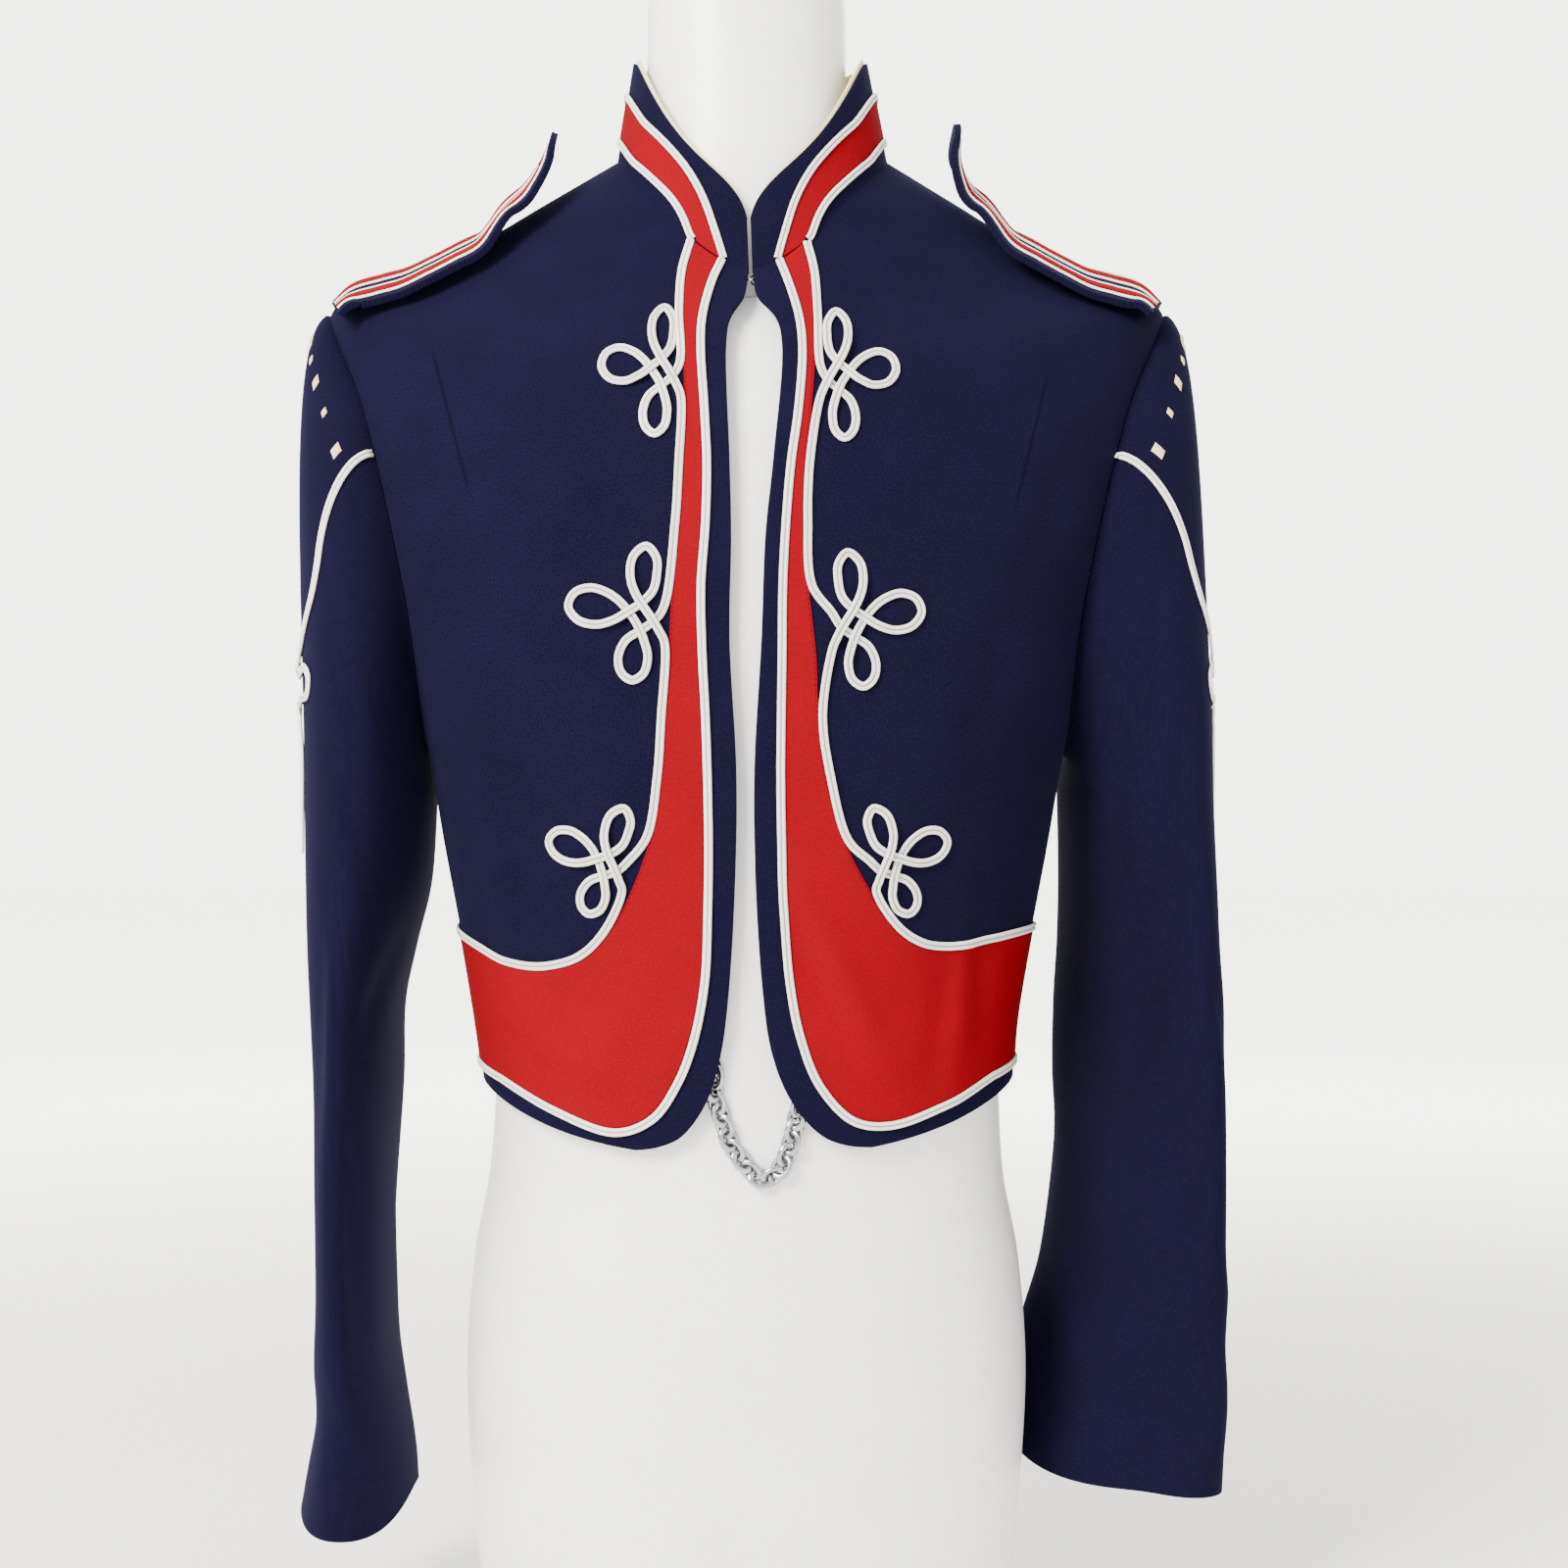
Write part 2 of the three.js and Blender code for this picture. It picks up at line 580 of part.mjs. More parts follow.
// A flat braid along a line of places on a surface.
function braid(surface, line, width, lift = BRAID_LIFT, thick = BRAID_THICK) {
  const places = line.map(({ a, b, over }) => {
    const { point, normal } = place(surface, a, b);
    return { point: point.addScaledVector(normal, lift + (over ?? 0) * BRAID_STEP), normal };
  });
  const sections = places.map(({ point, normal }, i) => {
    const before = places[Math.max(i - 1, 0)].point;
    const after = places[Math.min(i + 1, places.length - 1)].point;
    const side = after.clone().sub(before).cross(normal).normalize();
    const corner = (across, up) => {
      return point.clone().addScaledVector(side, across * width / 2).addScaledVector(normal, up);
    };
    return [corner(-1, 0), corner(1, 0), corner(1, thick), corner(-1, thick)];
  });
  return rings(sections);
}

function between(start, end, share) {
  const { lerp } = THREE.MathUtils;
  return {
    a: lerp(start.a, end.a, share),
    b: lerp(start.b, end.b, share),
    over: lerp(start.over ?? 0, end.over ?? 0, share),
  };
}

// Cloth between two lines of places with the same number of points.
function band(surface, lineA, lineB, columns, lift = TRIM_LIFT, thick = TRIM_CLOTH) {
  const grid = lineA.map((start, i) => {
    const end = lineB[i];
    return Array.from({ length: columns + 1 }, (_, k) => {
      const { a, b } = between(start, end, k / columns);
      return place(surface, a, b);
    });
  });
  return wall(grid, lift, lift + thick);
}

// Adds places to lines that run beside each other, so that no step turns far round the surface.
function finer(lines, mostTurn = MOST_TURN) {
  const results = lines.map((line) => [line[0]]);
  for (let i = 1; i < lines[0].length; i += 1) {
    const turns = lines.map((line) => Math.abs(line[i].a - line[i - 1].a));
    const steps = Math.max(1, Math.ceil(Math.max(...turns) / mostTurn));
    lines.forEach((line, n) => {
      for (let k = 1; k <= steps; k += 1) results[n].push(between(line[i - 1], line[i], k / steps));
    });
  }
  return results;
}

// Moves a flat line of points sideways, to the left of its direction.
function sideways(points, keys, distance) {
  return points.map((point, i) => {
    const before = points[Math.max(i - 1, 0)];
    const after = points[Math.min(i + 1, points.length - 1)];
    const [alongA, alongB] = keys.map((key) => after[key] - before[key]);
    const share = distance / Math.hypot(alongA, alongB);
    return {
      ...point,
      [keys[0]]: point[keys[0]] - alongB * share,
      [keys[1]]: point[keys[1]] + alongA * share,
    };
  });
}

// Fronts and back

// Half the seam gap as an angle on a ring.
const seamAngle = (row) => SEAM / 2 / tableAt(RINGS, row).front;

// How far the armhole cuts into a panel at a row.
function armholeCut(row, most) {
  const share = (row - UNDERARM) / (TIP - UNDERARM);
  if (share <= 0 || share >= 1) return seamAngle(row);
  return Math.max(seamAngle(row), most * Math.sqrt(4 * share * (1 - share)));
}

// Rows of the panels below and above the armhole
const FRONT_ROWS = {
  hem: [0, 0.06, 0.2, 0.45, 0.8, 1.25, 1.9, 2.6, 3.3, UNDERARM],
  neck: [8.6, 9.3, 10.1, 10.8, 11.35, 11.7, NECK],
};
const BACK_ROWS = { hem: [0, 0.6, 1.3, 2, 3, UNDERARM], neck: [8.7, 9.5, 10.3, 11.2, NECK] };
const ARMHOLE_STEPS = 8;

function armholeRow(turn) {
  return UNDERARM + (TIP - UNDERARM) * (1 - Math.cos(turn)) / 2;
}

function panelRows({ hem, neck }) {
  const middle = [];
  for (let k = 1; k <= ARMHOLE_STEPS; k += 1) middle.push(armholeRow(Math.PI * k / ARMHOLE_STEPS));
  return [...hem, ...middle, ...neck];
}

function rowPlaces(start, end, columns, row) {
  const angle = (k) => THREE.MathUtils.lerp(start, end, k / columns);
  return Array.from({ length: columns + 1 }, (_, k) => place(torso, angle(k), row));
}

function frontPanel(side) {
  const columns = 11;
  const column = side < 0 ? 'right' : 'left';
  return panelRows(FRONT_ROWS).map((row) => {
    const ring = tableAt(RINGS, row);
    const edge = angleAt(lookUp(EDGES, 'z', ring.zFront, column), ring);
    const end = side * (SIDE - armholeCut(row, ARMHOLE_FRONT));
    return rowPlaces(edge, end, columns, row);
  });
}

function backPanel() {
  const columns = 18;
  return panelRows(BACK_ROWS).map((row) => {
    const start = SIDE + armholeCut(row, ARMHOLE_BACK);
    const end = 2 * Math.PI - start;
    return rowPlaces(start, end, columns, row);
  });
}

add('front_right', wall(frontPanel(-1), -CLOTH, 0), 'navy');
add('front_left', wall(frontPanel(1), -CLOTH, 0), 'navy');
add('back', wall(backPanel(), -CLOTH, 0), 'navy');

// Red panels and braid of the fronts

const FRONT_KEYS = ['x', 'z'];
const PANEL_STEP = 20;
const KNOT_STEP = 9;
const KNOT_REACH = 8; // how far above and below its ends a knot takes the place of the line
const PANEL_CLEAR = BRAID_LINE / 2 + 1.6 * SEAM; // from a braid's middle to the red cloth
const KNOT_CLEAR = 0.9; // more beside the braid that runs into the knots
const PANEL_COLUMNS = 4;
const BACK_STEPS = 28;
const BACK_ANGLES = Array.from({ length: BACK_STEPS + 1 }, (_, k) => {
  return -SIDE - Math.PI * k / BACK_STEPS;
});

function panelLines(side) {
  const rows = side < 0 ? PANEL_RIGHT : PANEL_LEFT;
  const inner = rows.map((row) => ({ x: row.inX, z: row.inZ }));
  const outer = rows.map((row) => ({ x: row.outX, z: row.outZ }));
  return { inner, outer };
}

const toFront = (line) => line.map(({ a, b, over }) => ({ ...onFront(a, b), over }));

// The last place of a line, at the side seam.
function sideEnd(side, row) {
  return { a: side * (SIDE - SIDE_CLEAR / tableAt(RINGS, row).front), b: row, over: 0 };
}

function redPanel(side) {
  const { inner, outer } = panelLines(side);
  const edge = (line, distance) => {
    return sideways(line, FRONT_KEYS, side * distance).map(({ x, z }) => onFront(x, z));
  };
  const innerEdge = edge(inner, PANEL_CLEAR);
  const outerEdge = edge(outer, -PANEL_CLEAR - KNOT_CLEAR);
  innerEdge.push(sideEnd(side, SIDE_BAND.low + BAND_CLEAR.low));
  outerEdge.push(sideEnd(side, SIDE_BAND.high - BAND_CLEAR.high));
  return band(torso, ...finer([innerEdge, outerEdge]), PANEL_COLUMNS);
}

function innerLine(side) {
  return toFront(smoothLine(panelLines(side).inner, FRONT_KEYS, PANEL_STEP));
}

// The knot's points on the front, turned and sized.
function knotPoints(knot, side) {
  const turn = knot.turn * DEGREE;
  return KNOT.map(({ out, up, over }) => {
    const [wide, high] = [out * knot.out, up * knot.up];
    return {
      x: knot.x + side * (wide * Math.cos(turn) - high * Math.sin(turn)),
      z: knot.z + wide * Math.sin(turn) + high * Math.cos(turn),
      over,
    };
  });
}

function outerLine(side) {
  const { outer } = panelLines(side);
  const points = [];
  let from = 0;
  for (const knot of side < 0 ? KNOTS_RIGHT : KNOTS_LEFT) {
    const loops = knotPoints(knot, side);
    while (outer[from].z > loops[0].z + KNOT_REACH) {
      points.push(outer[from]);
      from += 1;
    }
    points.push(...loops);
    while (outer[from].z > loops.at(-1).z - KNOT_REACH) from += 1;
  }
  points.push(...outer.slice(from));
  return toFront(smoothLine(points, FRONT_KEYS, KNOT_STEP));
}

// A strand that runs down the right front, round the back and up the left front.
function roundJacket(lineOf, row) {
  const behind = BACK_ANGLES.map((angle) => ({ a: angle, b: row, over: 0 }));
  const up = lineOf(1).map(({ a, b, over }) => ({ a: a - 2 * Math.PI, b, over })).reverse();
  return braid(torso, finer([[...lineOf(-1), ...behind, ...up]])[0], BRAID_LINE);
}

add('red_panel_right', redPanel(-1), 'red');
add('red_panel_left', redPanel(1), 'red');
add('braid_inner', roundJacket(innerLine, SIDE_BAND.low), 'braid');
add('braid_outer', roundJacket(outerLine, SIDE_BAND.high), 'braid');

// Red waistband of the back

const BAND_COLUMNS = 3;

function backLine(row) {
  const start = SIDE + SIDE_CLEAR / tableAt(RINGS, row).back;
  const end = 2 * Math.PI - start;
  const angle = (k) => THREE.MathUtils.lerp(start, end, k / BACK_STEPS);
  return Array.from({ length: BACK_STEPS + 1 }, (_, k) => ({ a: angle(k), b: row, over: 0 }));
}

const waistLow = backLine(SIDE_BAND.low + BAND_CLEAR.low);
const waistHigh = backLine(SIDE_BAND.high - BAND_CLEAR.high);
add('red_waistband_back', band(torso, waistLow, waistHigh, BAND_COLUMNS), 'red');

// Stand collar

function collarTopRise(across) {
  const { share, sharp, round } = COLLAR_VEE;
  return share * across ** sharp + (1 - share) * across ** round;
}

// From the neck seam, at height 0, to the top edge, at height 1.
const collar = {
  out: 1,
  point: (angle, height) => {
    const top = ringPoint(COLLAR_TOP, angle, collarTopRise);
    return torso.point(angle, NECK).lerp(top, height);
  },
};

function onCollar(x, z) {
  const halfAt = (height) => THREE.MathUtils.lerp(RINGS[NECK].half, COLLAR_TOP.half, height);
  const middleAt = (height) => THREE.MathUtils.lerp(RINGS[NECK].middle, COLLAR_TOP.middle, height);
  const angle = (height) => angleAt(x, { half: halfAt(height), middle: middleAt(height) });
  const height = solve(0, 1, z, (share) => collar.point(angle(share), share).z);
  return { a: angle(height), b: height };
}

// Angles round the neck, closer together where the collar leaves the front.
const COLLAR_FRONT = 0.012; // half the gap between the ends of the collar, as an angle
const COLLAR_ANGLES = [COLLAR_FRONT, 0.05, 0.1, 0.17, 0.27, 0.4, 0.55, 0.75, 1, 1.3, 1.6, 2, 2.5, Math.PI];
const COLLAR_FOOT = 0.018; // the seam gap, as a share of the collar's height

function collarWall(from, to, inner, outer) {
  const mirrored = COLLAR_ANGLES.slice(0, -1).reverse().map((angle) => 2 * Math.PI - angle);
  const angles = [...COLLAR_ANGLES, ...mirrored];
  const grid = [from, to].map((height) => angles.map((angle) => place(collar, angle, height)));
  return wall(grid, inner, outer);
}

const COLLAR_CLOTH = 1.8;
const COLLAR_HEIGHT = 50; // height of the collar beside the neck, for shares of it
const LINING_FOOT = 0.3;
const LINING_TOP = 1 + LINING_SHOWS / COLLAR_HEIGHT;
const LINING_FACE = -COLLAR_CLOTH - SEAM;
add('collar', collarWall(COLLAR_FOOT, 1, -COLLAR_CLOTH, 0), 'navy');
add('collar_lining', collarWall(LINING_FOOT, LINING_TOP, LINING_FACE - LINING, LINING_FACE), 'lining');

// The line of a collar braid, from one end at the neck seam round to the other.
function collarLine(xKey, zKey, height, move) {
  const rows = COLLAR_BRAIDS.map((row) => ({ x: row[xKey], z: row[zKey] }));
  const half = sideways(rows, FRONT_KEYS, move).map(({ x, z }) => onCollar(x, z));
  const behind = COLLAR_BEHIND.map((angle) => ({ a: angle, b: height }));
  const right = [...half, ...behind];
  const left = right.map(({ a, b }) => ({ a: -2 * Math.PI - a, b })).reverse();
  return [...right, { a: -Math.PI, b: height }, ...left];
}

const COLLAR_TURN = 11 * DEGREE;
const COLLAR_CLEAR = COLLAR_BRAID / 2 + 2 * SEAM;
const COLLAR_CLEAR_SHARE = COLLAR_CLEAR / COLLAR_HEIGHT;
const COLLAR_COLUMNS = 2;

const braidHigh = collarLine('upX', 'upZ', COLLAR_RISE.high, 0);
const braidLow = collarLine('lowX', 'lowZ', COLLAR_RISE.low, 0);
const redHigh = collarLine('upX', 'upZ', COLLAR_RISE.high - COLLAR_CLEAR_SHARE, COLLAR_CLEAR);
const redLow = collarLine('lowX', 'lowZ', COLLAR_RISE.low + COLLAR_CLEAR_SHARE, -COLLAR_CLEAR);
add('collar_braid_high', braid(collar, finer([braidHigh], COLLAR_TURN)[0], COLLAR_BRAID), 'braid');
add('collar_braid_low', braid(collar, finer([braidLow], COLLAR_TURN)[0], COLLAR_BRAID), 'braid');
add('collar_red', band(collar, ...finer([redHigh, redLow], COLLAR_TURN), COLLAR_COLUMNS), 'red');

// Shoulder straps

// The point on the front of the shoulder at x and y, with its normal.
function onShoulder(side, x, y) {
  const rowAt = (angle) => solve(TIP, NECK, -x, (row) => -side * torso.point(side * angle, row).x);
  const angle = solve(SIDE / 5, SIDE, y, (turn) => torso.point(side * turn, rowAt(turn)).y);
  return place(torso, side * angle, rowAt(angle));
}

const STRAP_STEP = 13.5;
const STRAP_END = [0, 20, 38, 54, 68, 80].map((turn) => turn * DEGREE); // rows of the round end
const STRAP_SHARES = [-1, -0.5, 0, 0.5, 1];
const STRAP_ARC_STEPS = 12;

function strapSurface(side) {
  const points = [];
  for (let x = STRAP.start; x >= STRAP.rest - 1; x -= STRAP_STEP) {
    const { point, normal } = onShoulder(side, x, STRAP.depth);
    points.push(point.addScaledVector(normal, STRAP.lift));
  }
  const free = side < 0 ? STRAP_FREE_RIGHT : STRAP_FREE_LEFT;
  free.forEach(({ x, z }) => points.push(new THREE.Vector3(side * x, STRAP.depth, z)));
  const curve = new THREE.CatmullRomCurve3(points, false, 'centripetal');
  const length = curve.getLength();
  const tilted = new THREE.Vector3(0, Math.cos(STRAP.tilt), Math.sin(STRAP.tilt));
  const point = (along, across) => {
    const share = THREE.MathUtils.clamp(along / length, 0, 1);
    const tangent = curve.getTangentAt(share);
    const widthways = tilted.clone().addScaledVector(tangent, -tangent.dot(tilted)).normalize();
    return curve.getPointAt(share)
      .addScaledVector(tangent, along - share * length)
      .addScaledVector(widthways, across);
  };
  return { out: -side, point, length };
}

// The strap's cloth: straight, with a half round end.
function strapWall(surface) {
  const straight = surface.length - STRAP.half;
  const rows = [];
  for (let along = 0; along < straight - 1; along += STRAP_STEP) rows.push({ along, half: STRAP.half });
  for (const turn of STRAP_END) {
    rows.push({ along: straight + STRAP.half * Math.sin(turn), half: STRAP.half * Math.cos(turn) });
  }
  const grid = rows.map(({ along, half }) => {
    return STRAP_SHARES.map((share) => place(surface, along, share * half));
  });
  return wall(grid, 0, STRAP.thick);
}

// A line that runs up one side of the strap, round its end and back.
function strapLine(surface, at) {
  const straight = surface.length - STRAP.half;
  const up = [{ a: STRAP.trims, b: -at }];
  for (let along = STRAP_STEP; along < straight - 1; along += STRAP_STEP) {
    up.push({ a: along, b: -at });
  }
  const arc = [];
  for (let k = 0; k <= STRAP_ARC_STEPS; k += 1) {
    const turn = Math.PI * (k / STRAP_ARC_STEPS - 0.5);
    arc.push({ a: straight + at * Math.cos(turn), b: at * Math.sin(turn) });
  }
  const back = up.map(({ a }) => ({ a, b: at })).reverse();
  return [...up, ...arc, ...back];
}

for (const [name, side] of [['right', -1], ['left', 1]]) {
  const surface = strapSurface(side);
  add(`strap_${name}`, strapWall(surface), 'navy');
  for (const trim of STRAP_TRIMS) {
    const line = strapLine(surface, trim.at);
    const cloth = braid(surface, line, trim.width, STRAP.thick + STRAP.clear, trim.thick);
    add(`strap_${trim.name}_${name}`, cloth, trim.color);
  }
}

// Sleeves

// How far the hem is raised, from the row before the last.
function hemLift(side, row, angle) {
  const share = THREE.MathUtils.clamp(row - SLEEVE_RIGHT.length + 2, 0, 1);
  let lift = 0;
  for (const place of HEM_LIFTS) {
    if (place.side !== side) continue;
    const off = THREE.MathUtils.euclideanModulo(angle / DEGREE - place.angle + 180, 360) - 180;
    lift += place.height * share * Math.exp(-((off / place.width) ** 2));
  }
  return lift;
}

function sleeveRing(side, row, angle) {
  const section = tableAt(side < 0 ? SLEEVE_RIGHT : SLEEVE_LEFT, row);
  const [cosine, sine] = [Math.cos(angle), Math.sin(angle)];
  const sum = Math.abs(cosine) ** SLEEVE_ROUND + Math.abs(sine) ** SLEEVE_ROUND;
  const reach = sum ** (-1 / SLEEVE_ROUND);
  const outward = section.short * reach * cosine;
  const forward = section.long * reach * sine;
  const turn = section.turn * DEGREE;
  return new THREE.Vector3(
    side * (section.mid + outward * Math.cos(turn) + forward * Math.sin(turn)),
    section.y - forward * Math.cos(turn) + outward * Math.sin(turn),
    section.z + hemLift(side, row, angle),
  );
}

// How far the folds push the sleeve in at an angle and height.
function sleeveFold(side, angle, z) {
  let depth = 0;
  for (const fold of SLEEVE_FOLDS) {
    if (fold.side !== side) continue;
    const centre = fold.angle + fold.lean * (z - fold.z) / 100;
    const across = THREE.MathUtils.euclideanModulo(angle / DEGREE - centre + 180, 360) - 180;
    const away = (across / fold.width) ** 2 + ((z - fold.z) / fold.reach) ** 2;
    depth += fold.depth * Math.exp(-away);
  }
  return depth;
}

// The armhole seam at an angle round the sleeve, 0 at the shoulder tip and 90 degrees in front.
function armholePoint(side, angle) {
  const row = UNDERARM + (TIP - UNDERARM) * (1 + Math.cos(angle)) / 2;
  const most = Math.sin(angle) > 0 ? ARMHOLE_FRONT : ARMHOLE_BACK;
  const turn = side * (SIDE - Math.sin(angle) * (most - SLEEVE_SET.inside));
  const { point, normal } = place(torso, turn, row);
  point.x += side * SLEEVE_SET.outward;
  return point.addScaledVector(normal, SLEEVE_SET.above);
}

// The sleeve from the armhole, at 0, past the underarm height, at 1, to the cuff.
function sleeveSurface(side) {
  const raw = (angle, down) => {
    if (down >= 1) return sleeveRing(side, down - 1, angle);
    const start = armholePoint(side, angle);
    const end = sleeveRing(side, 0, angle);
    const share = Math.max(down, 0);
    const top = (1 + Math.cos(angle)) / 2;
    const drop = start.z - end.z;
    const leave = new THREE.Vector3(
      side * THREE.MathUtils.lerp(SLEEVE_SET.low, SLEEVE_SET.high, top),
      SLEEVE_SET.forward * (end.y - start.y),
      -SLEEVE_SET.drop * drop,
    );
    const arrive = new THREE.Vector3(0, 0, -drop);
    const [t, u] = [share, share * share];
    return start.clone().multiplyScalar(2 * t * u - 3 * u + 1)
      .addScaledVector(leave, t * u - 2 * u + t)
      .addScaledVector(end, -2 * t * u + 3 * u)
      .addScaledVector(arrive, t * u - u);
  };
  const point = (angle, down) => {
    const spot = raw(angle, down);
    const depth = sleeveFold(side, angle, spot.z);
    return spot.addScaledVector(normalOf(raw, angle, down, side), -depth);
  };
  return { out: side, point };
}

const SLEEVE_COLUMNS = 20;
const SLEEVE_HEAD_ROWS = [0, 0.14, 0.3, 0.5, 0.75];
const CUFF = SLEEVE_RIGHT.length;
const SLEEVE_BRAID_STEP = 12;

function sleeveWall(surface) {
  const rows = [...SLEEVE_HEAD_ROWS];
  for (let row = 1; row <= CUFF; row += 1) rows.push(row);
  const angles = Array.from({ length: SLEEVE_COLUMNS }, (_, k) => 2 * Math.PI * k / SLEEVE_COLUMNS);
  return wall(rows.map((row) => angles.map((angle) => place(surface, angle, row))), -CLOTH, 0, true);
}

// The angle round the sleeve at a distance forward of its outer line, by steps along its width.
function sleeveAngle(surface, along) {
  const step = 0.02;
  let [angle, length] = [0, 0];
  let last = surface.point(0, SLEEVE_GIRTH_ROW);
  while (length < Math.abs(along)) {
    angle += step;
    const next = surface.point(Math.sign(along) * angle, SLEEVE_GIRTH_ROW);
    length += next.distanceTo(last);
    last = next;
  }
  return Math.sign(along) * angle;
}

function sleeveBraid(side, surface) {
  const onSleeve = ({ a, b, over }) => {
    const angle = sleeveAngle(surface, a);
    return { a: angle, b: solve(0, 3, -b, (down) => -surface.point(angle, down).z), over };
  };
  const line = smoothLine(SLEEVE_BRAID, ['along', 'z'], SLEEVE_BRAID_STEP).map(onSleeve);
  return braid(surface, line, BRAID_LINE);
}

for (const [name, side] of [['right', -1], ['left', 1]]) {
  const surface = sleeveSurface(side);
  add(`sleeve_${name}`, sleeveWall(surface), 'navy');
  add(`sleeve_braid_${name}`, sleeveBraid(side, surface), 'braid');
}

// Dress form

const FORM_COLUMNS = 20;
const FORM_ROWS = [0.3, 0.8, 1.5, 2.2, 3, 4, 5, 6, 6.8, 7.5, 8, 8.5, 9.2, 10, 10.8, 11.5, NECK];
const FORM_CAP = 0.45; // size of the last ring of the rounded top
const TIP_REACH = 1.6; // rings above and below the shoulder tip that are drawn in

function formRing(ring, rise) {
  const angle = (k) => 2 * Math.PI * k / FORM_COLUMNS;
  return Array.from({ length: FORM_COLUMNS }, (_, k) => ringPoint(ring, angle(k), rise));
}

function flatRing({ z, half, front, back }) {
  const level = { zFront: z, zSide: z, zBack: z, middle: 0, ridge: 0 };
  return formRing({ half, front, back, ...level }, () => 0);
}

function insideRing(row) {
  const ring = tableAt(RINGS, row);
  const nearTip = Math.exp(-(((row - TIP) / TIP_REACH) ** 2));
  const lower = FORM_INSET.top * THREE.MathUtils.smoothstep(row, UNDERARM, TIP);
  const inside = {
    ...ring,
    half: ring.half - FORM_INSET.half - FORM_INSET.tip * nearTip,
    front: ring.front - FORM_INSET.front,
    back: ring.back - FORM_INSET.back,
    zFront: ring.zFront - lower,
    zSide: ring.zSide - lower - FORM_INSET.tip / 2 * nearTip,
    zBack: ring.zBack - lower,
  };
  return formRing(inside, (across) => across ** ring.rise);
}

const formTop = flatRing({ ...FORM_NECK.at(-1), z: FORM_TOP }).map((point) => {
  point.x *= FORM_CAP;
  point.y *= FORM_CAP;
  return point;
});
const formRings = [
  ...FORM_HIPS.map(flatRing),
  ...FORM_ROWS.map(insideRing),
  ...FORM_NECK.map(flatRing),
  formTop,
];
add('dress_form', rings(formRings), 'form');

// Chain, with a hook and eye at the neck

const CHAIN_CORNERS = 6;
const WIRE_STEPS = 8;

function smoothCurve(points) {
  return new THREE.CatmullRomCurve3(points, false, 'centripetal');
}

// A ring of points round a place of a curve.
function roundRing(middle, across, up, corners) {
  return Array.from({ length: corners }, (_, n) => {
    const turn = 2 * Math.PI * n / corners;
    return middle.clone()
      .addScaledVector(across, Math.cos(turn))
      .addScaledVector(up, Math.sin(turn));
  });
}

function chainSolid() {
  const curve = smoothCurve(CHAIN_LINE.map(({ x, z }) => new THREE.Vector3(x, CHAIN.y, z)));
  const steps = 2 * Math.round(curve.getLength() / CHAIN.pitch);
  const outward = new THREE.Vector3(0, -1, 0);
  const sections = [];
  for (let k = 0; k <= steps; k += 1) {
    const size = k % 2 ? 1 : CHAIN.waist;
    const across = curve.getTangentAt(k / steps).cross(outward).normalize();
    across.multiplyScalar(CHAIN.wide * size);
    const up = outward.clone().multiplyScalar(CHAIN.thick * size);
    sections.push(roundRing(curve.getPointAt(k / steps), across, up, CHAIN_CORNERS));
  }
  return rings(sections);
}

function hookSolid() {
  const curve = smoothCurve(HOOK_LINE.map(({ x, y }) => new THREE.Vector3(x, y, EYE.z)));
  const up = new THREE.Vector3(0, 0, 1);
  const sections = [];
  for (let k = 0; k <= WIRE_STEPS; k += 1) {
    const across = curve.getTangentAt(k / WIRE_STEPS).cross(up).normalize();
    const [wide, high] = [across, up.clone()].map((way) => way.multiplyScalar(EYE.wire));
    sections.push(roundRing(curve.getPointAt(k / WIRE_STEPS), wide, high, EYE.sides));
  }
  return rings(sections);
}

add('chain', chainSolid(), 'silver');

const eye = new THREE.TorusGeometry(EYE.ring, EYE.wire, EYE.sides, EYE.steps);
eye.deleteAttribute('uv');
eye.deleteAttribute('normal');
eye.rotateX(SIDE);
eye.translate(EYE.x, EYE.y, EYE.z);
add('eye', eye, 'silver');
add('hook', hookSolid(), 'silver');

// Everything stands centred on the origin.
const middle = new THREE.Box3().setFromObject(model).getCenter(new THREE.Vector3());
for (const mesh of model.children) mesh.geometry.translate(-middle.x, -middle.y, 0);

export default model;
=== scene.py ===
"""Marching band jacket on a dress form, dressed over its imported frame."""
import math

import bmesh
import bpy
import numpy as np
from bpy.props import FloatProperty, FloatVectorProperty, PointerProperty
from mathutils import Matrix, Vector


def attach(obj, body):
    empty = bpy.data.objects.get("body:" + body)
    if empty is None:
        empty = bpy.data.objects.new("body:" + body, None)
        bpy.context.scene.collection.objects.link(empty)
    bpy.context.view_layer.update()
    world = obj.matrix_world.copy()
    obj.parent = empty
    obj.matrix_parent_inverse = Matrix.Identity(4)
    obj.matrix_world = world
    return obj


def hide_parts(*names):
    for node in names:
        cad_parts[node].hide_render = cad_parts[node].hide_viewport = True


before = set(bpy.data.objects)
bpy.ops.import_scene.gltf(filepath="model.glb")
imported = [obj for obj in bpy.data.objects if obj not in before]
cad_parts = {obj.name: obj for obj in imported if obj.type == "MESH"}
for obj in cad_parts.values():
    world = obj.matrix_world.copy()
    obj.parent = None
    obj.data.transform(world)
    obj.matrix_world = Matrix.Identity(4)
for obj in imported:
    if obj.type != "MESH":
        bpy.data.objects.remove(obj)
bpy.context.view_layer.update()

bl_info = {
    "name": "Marching band jacket",
    "version": (1, 0, 0),
    "blender": (4, 5, 0),
    "location": "3D View > Sidebar > Band jacket",
    "description": "Wool jacket with red panels, braid knots and a chain, on a dress form",
    "category": "Object",
}

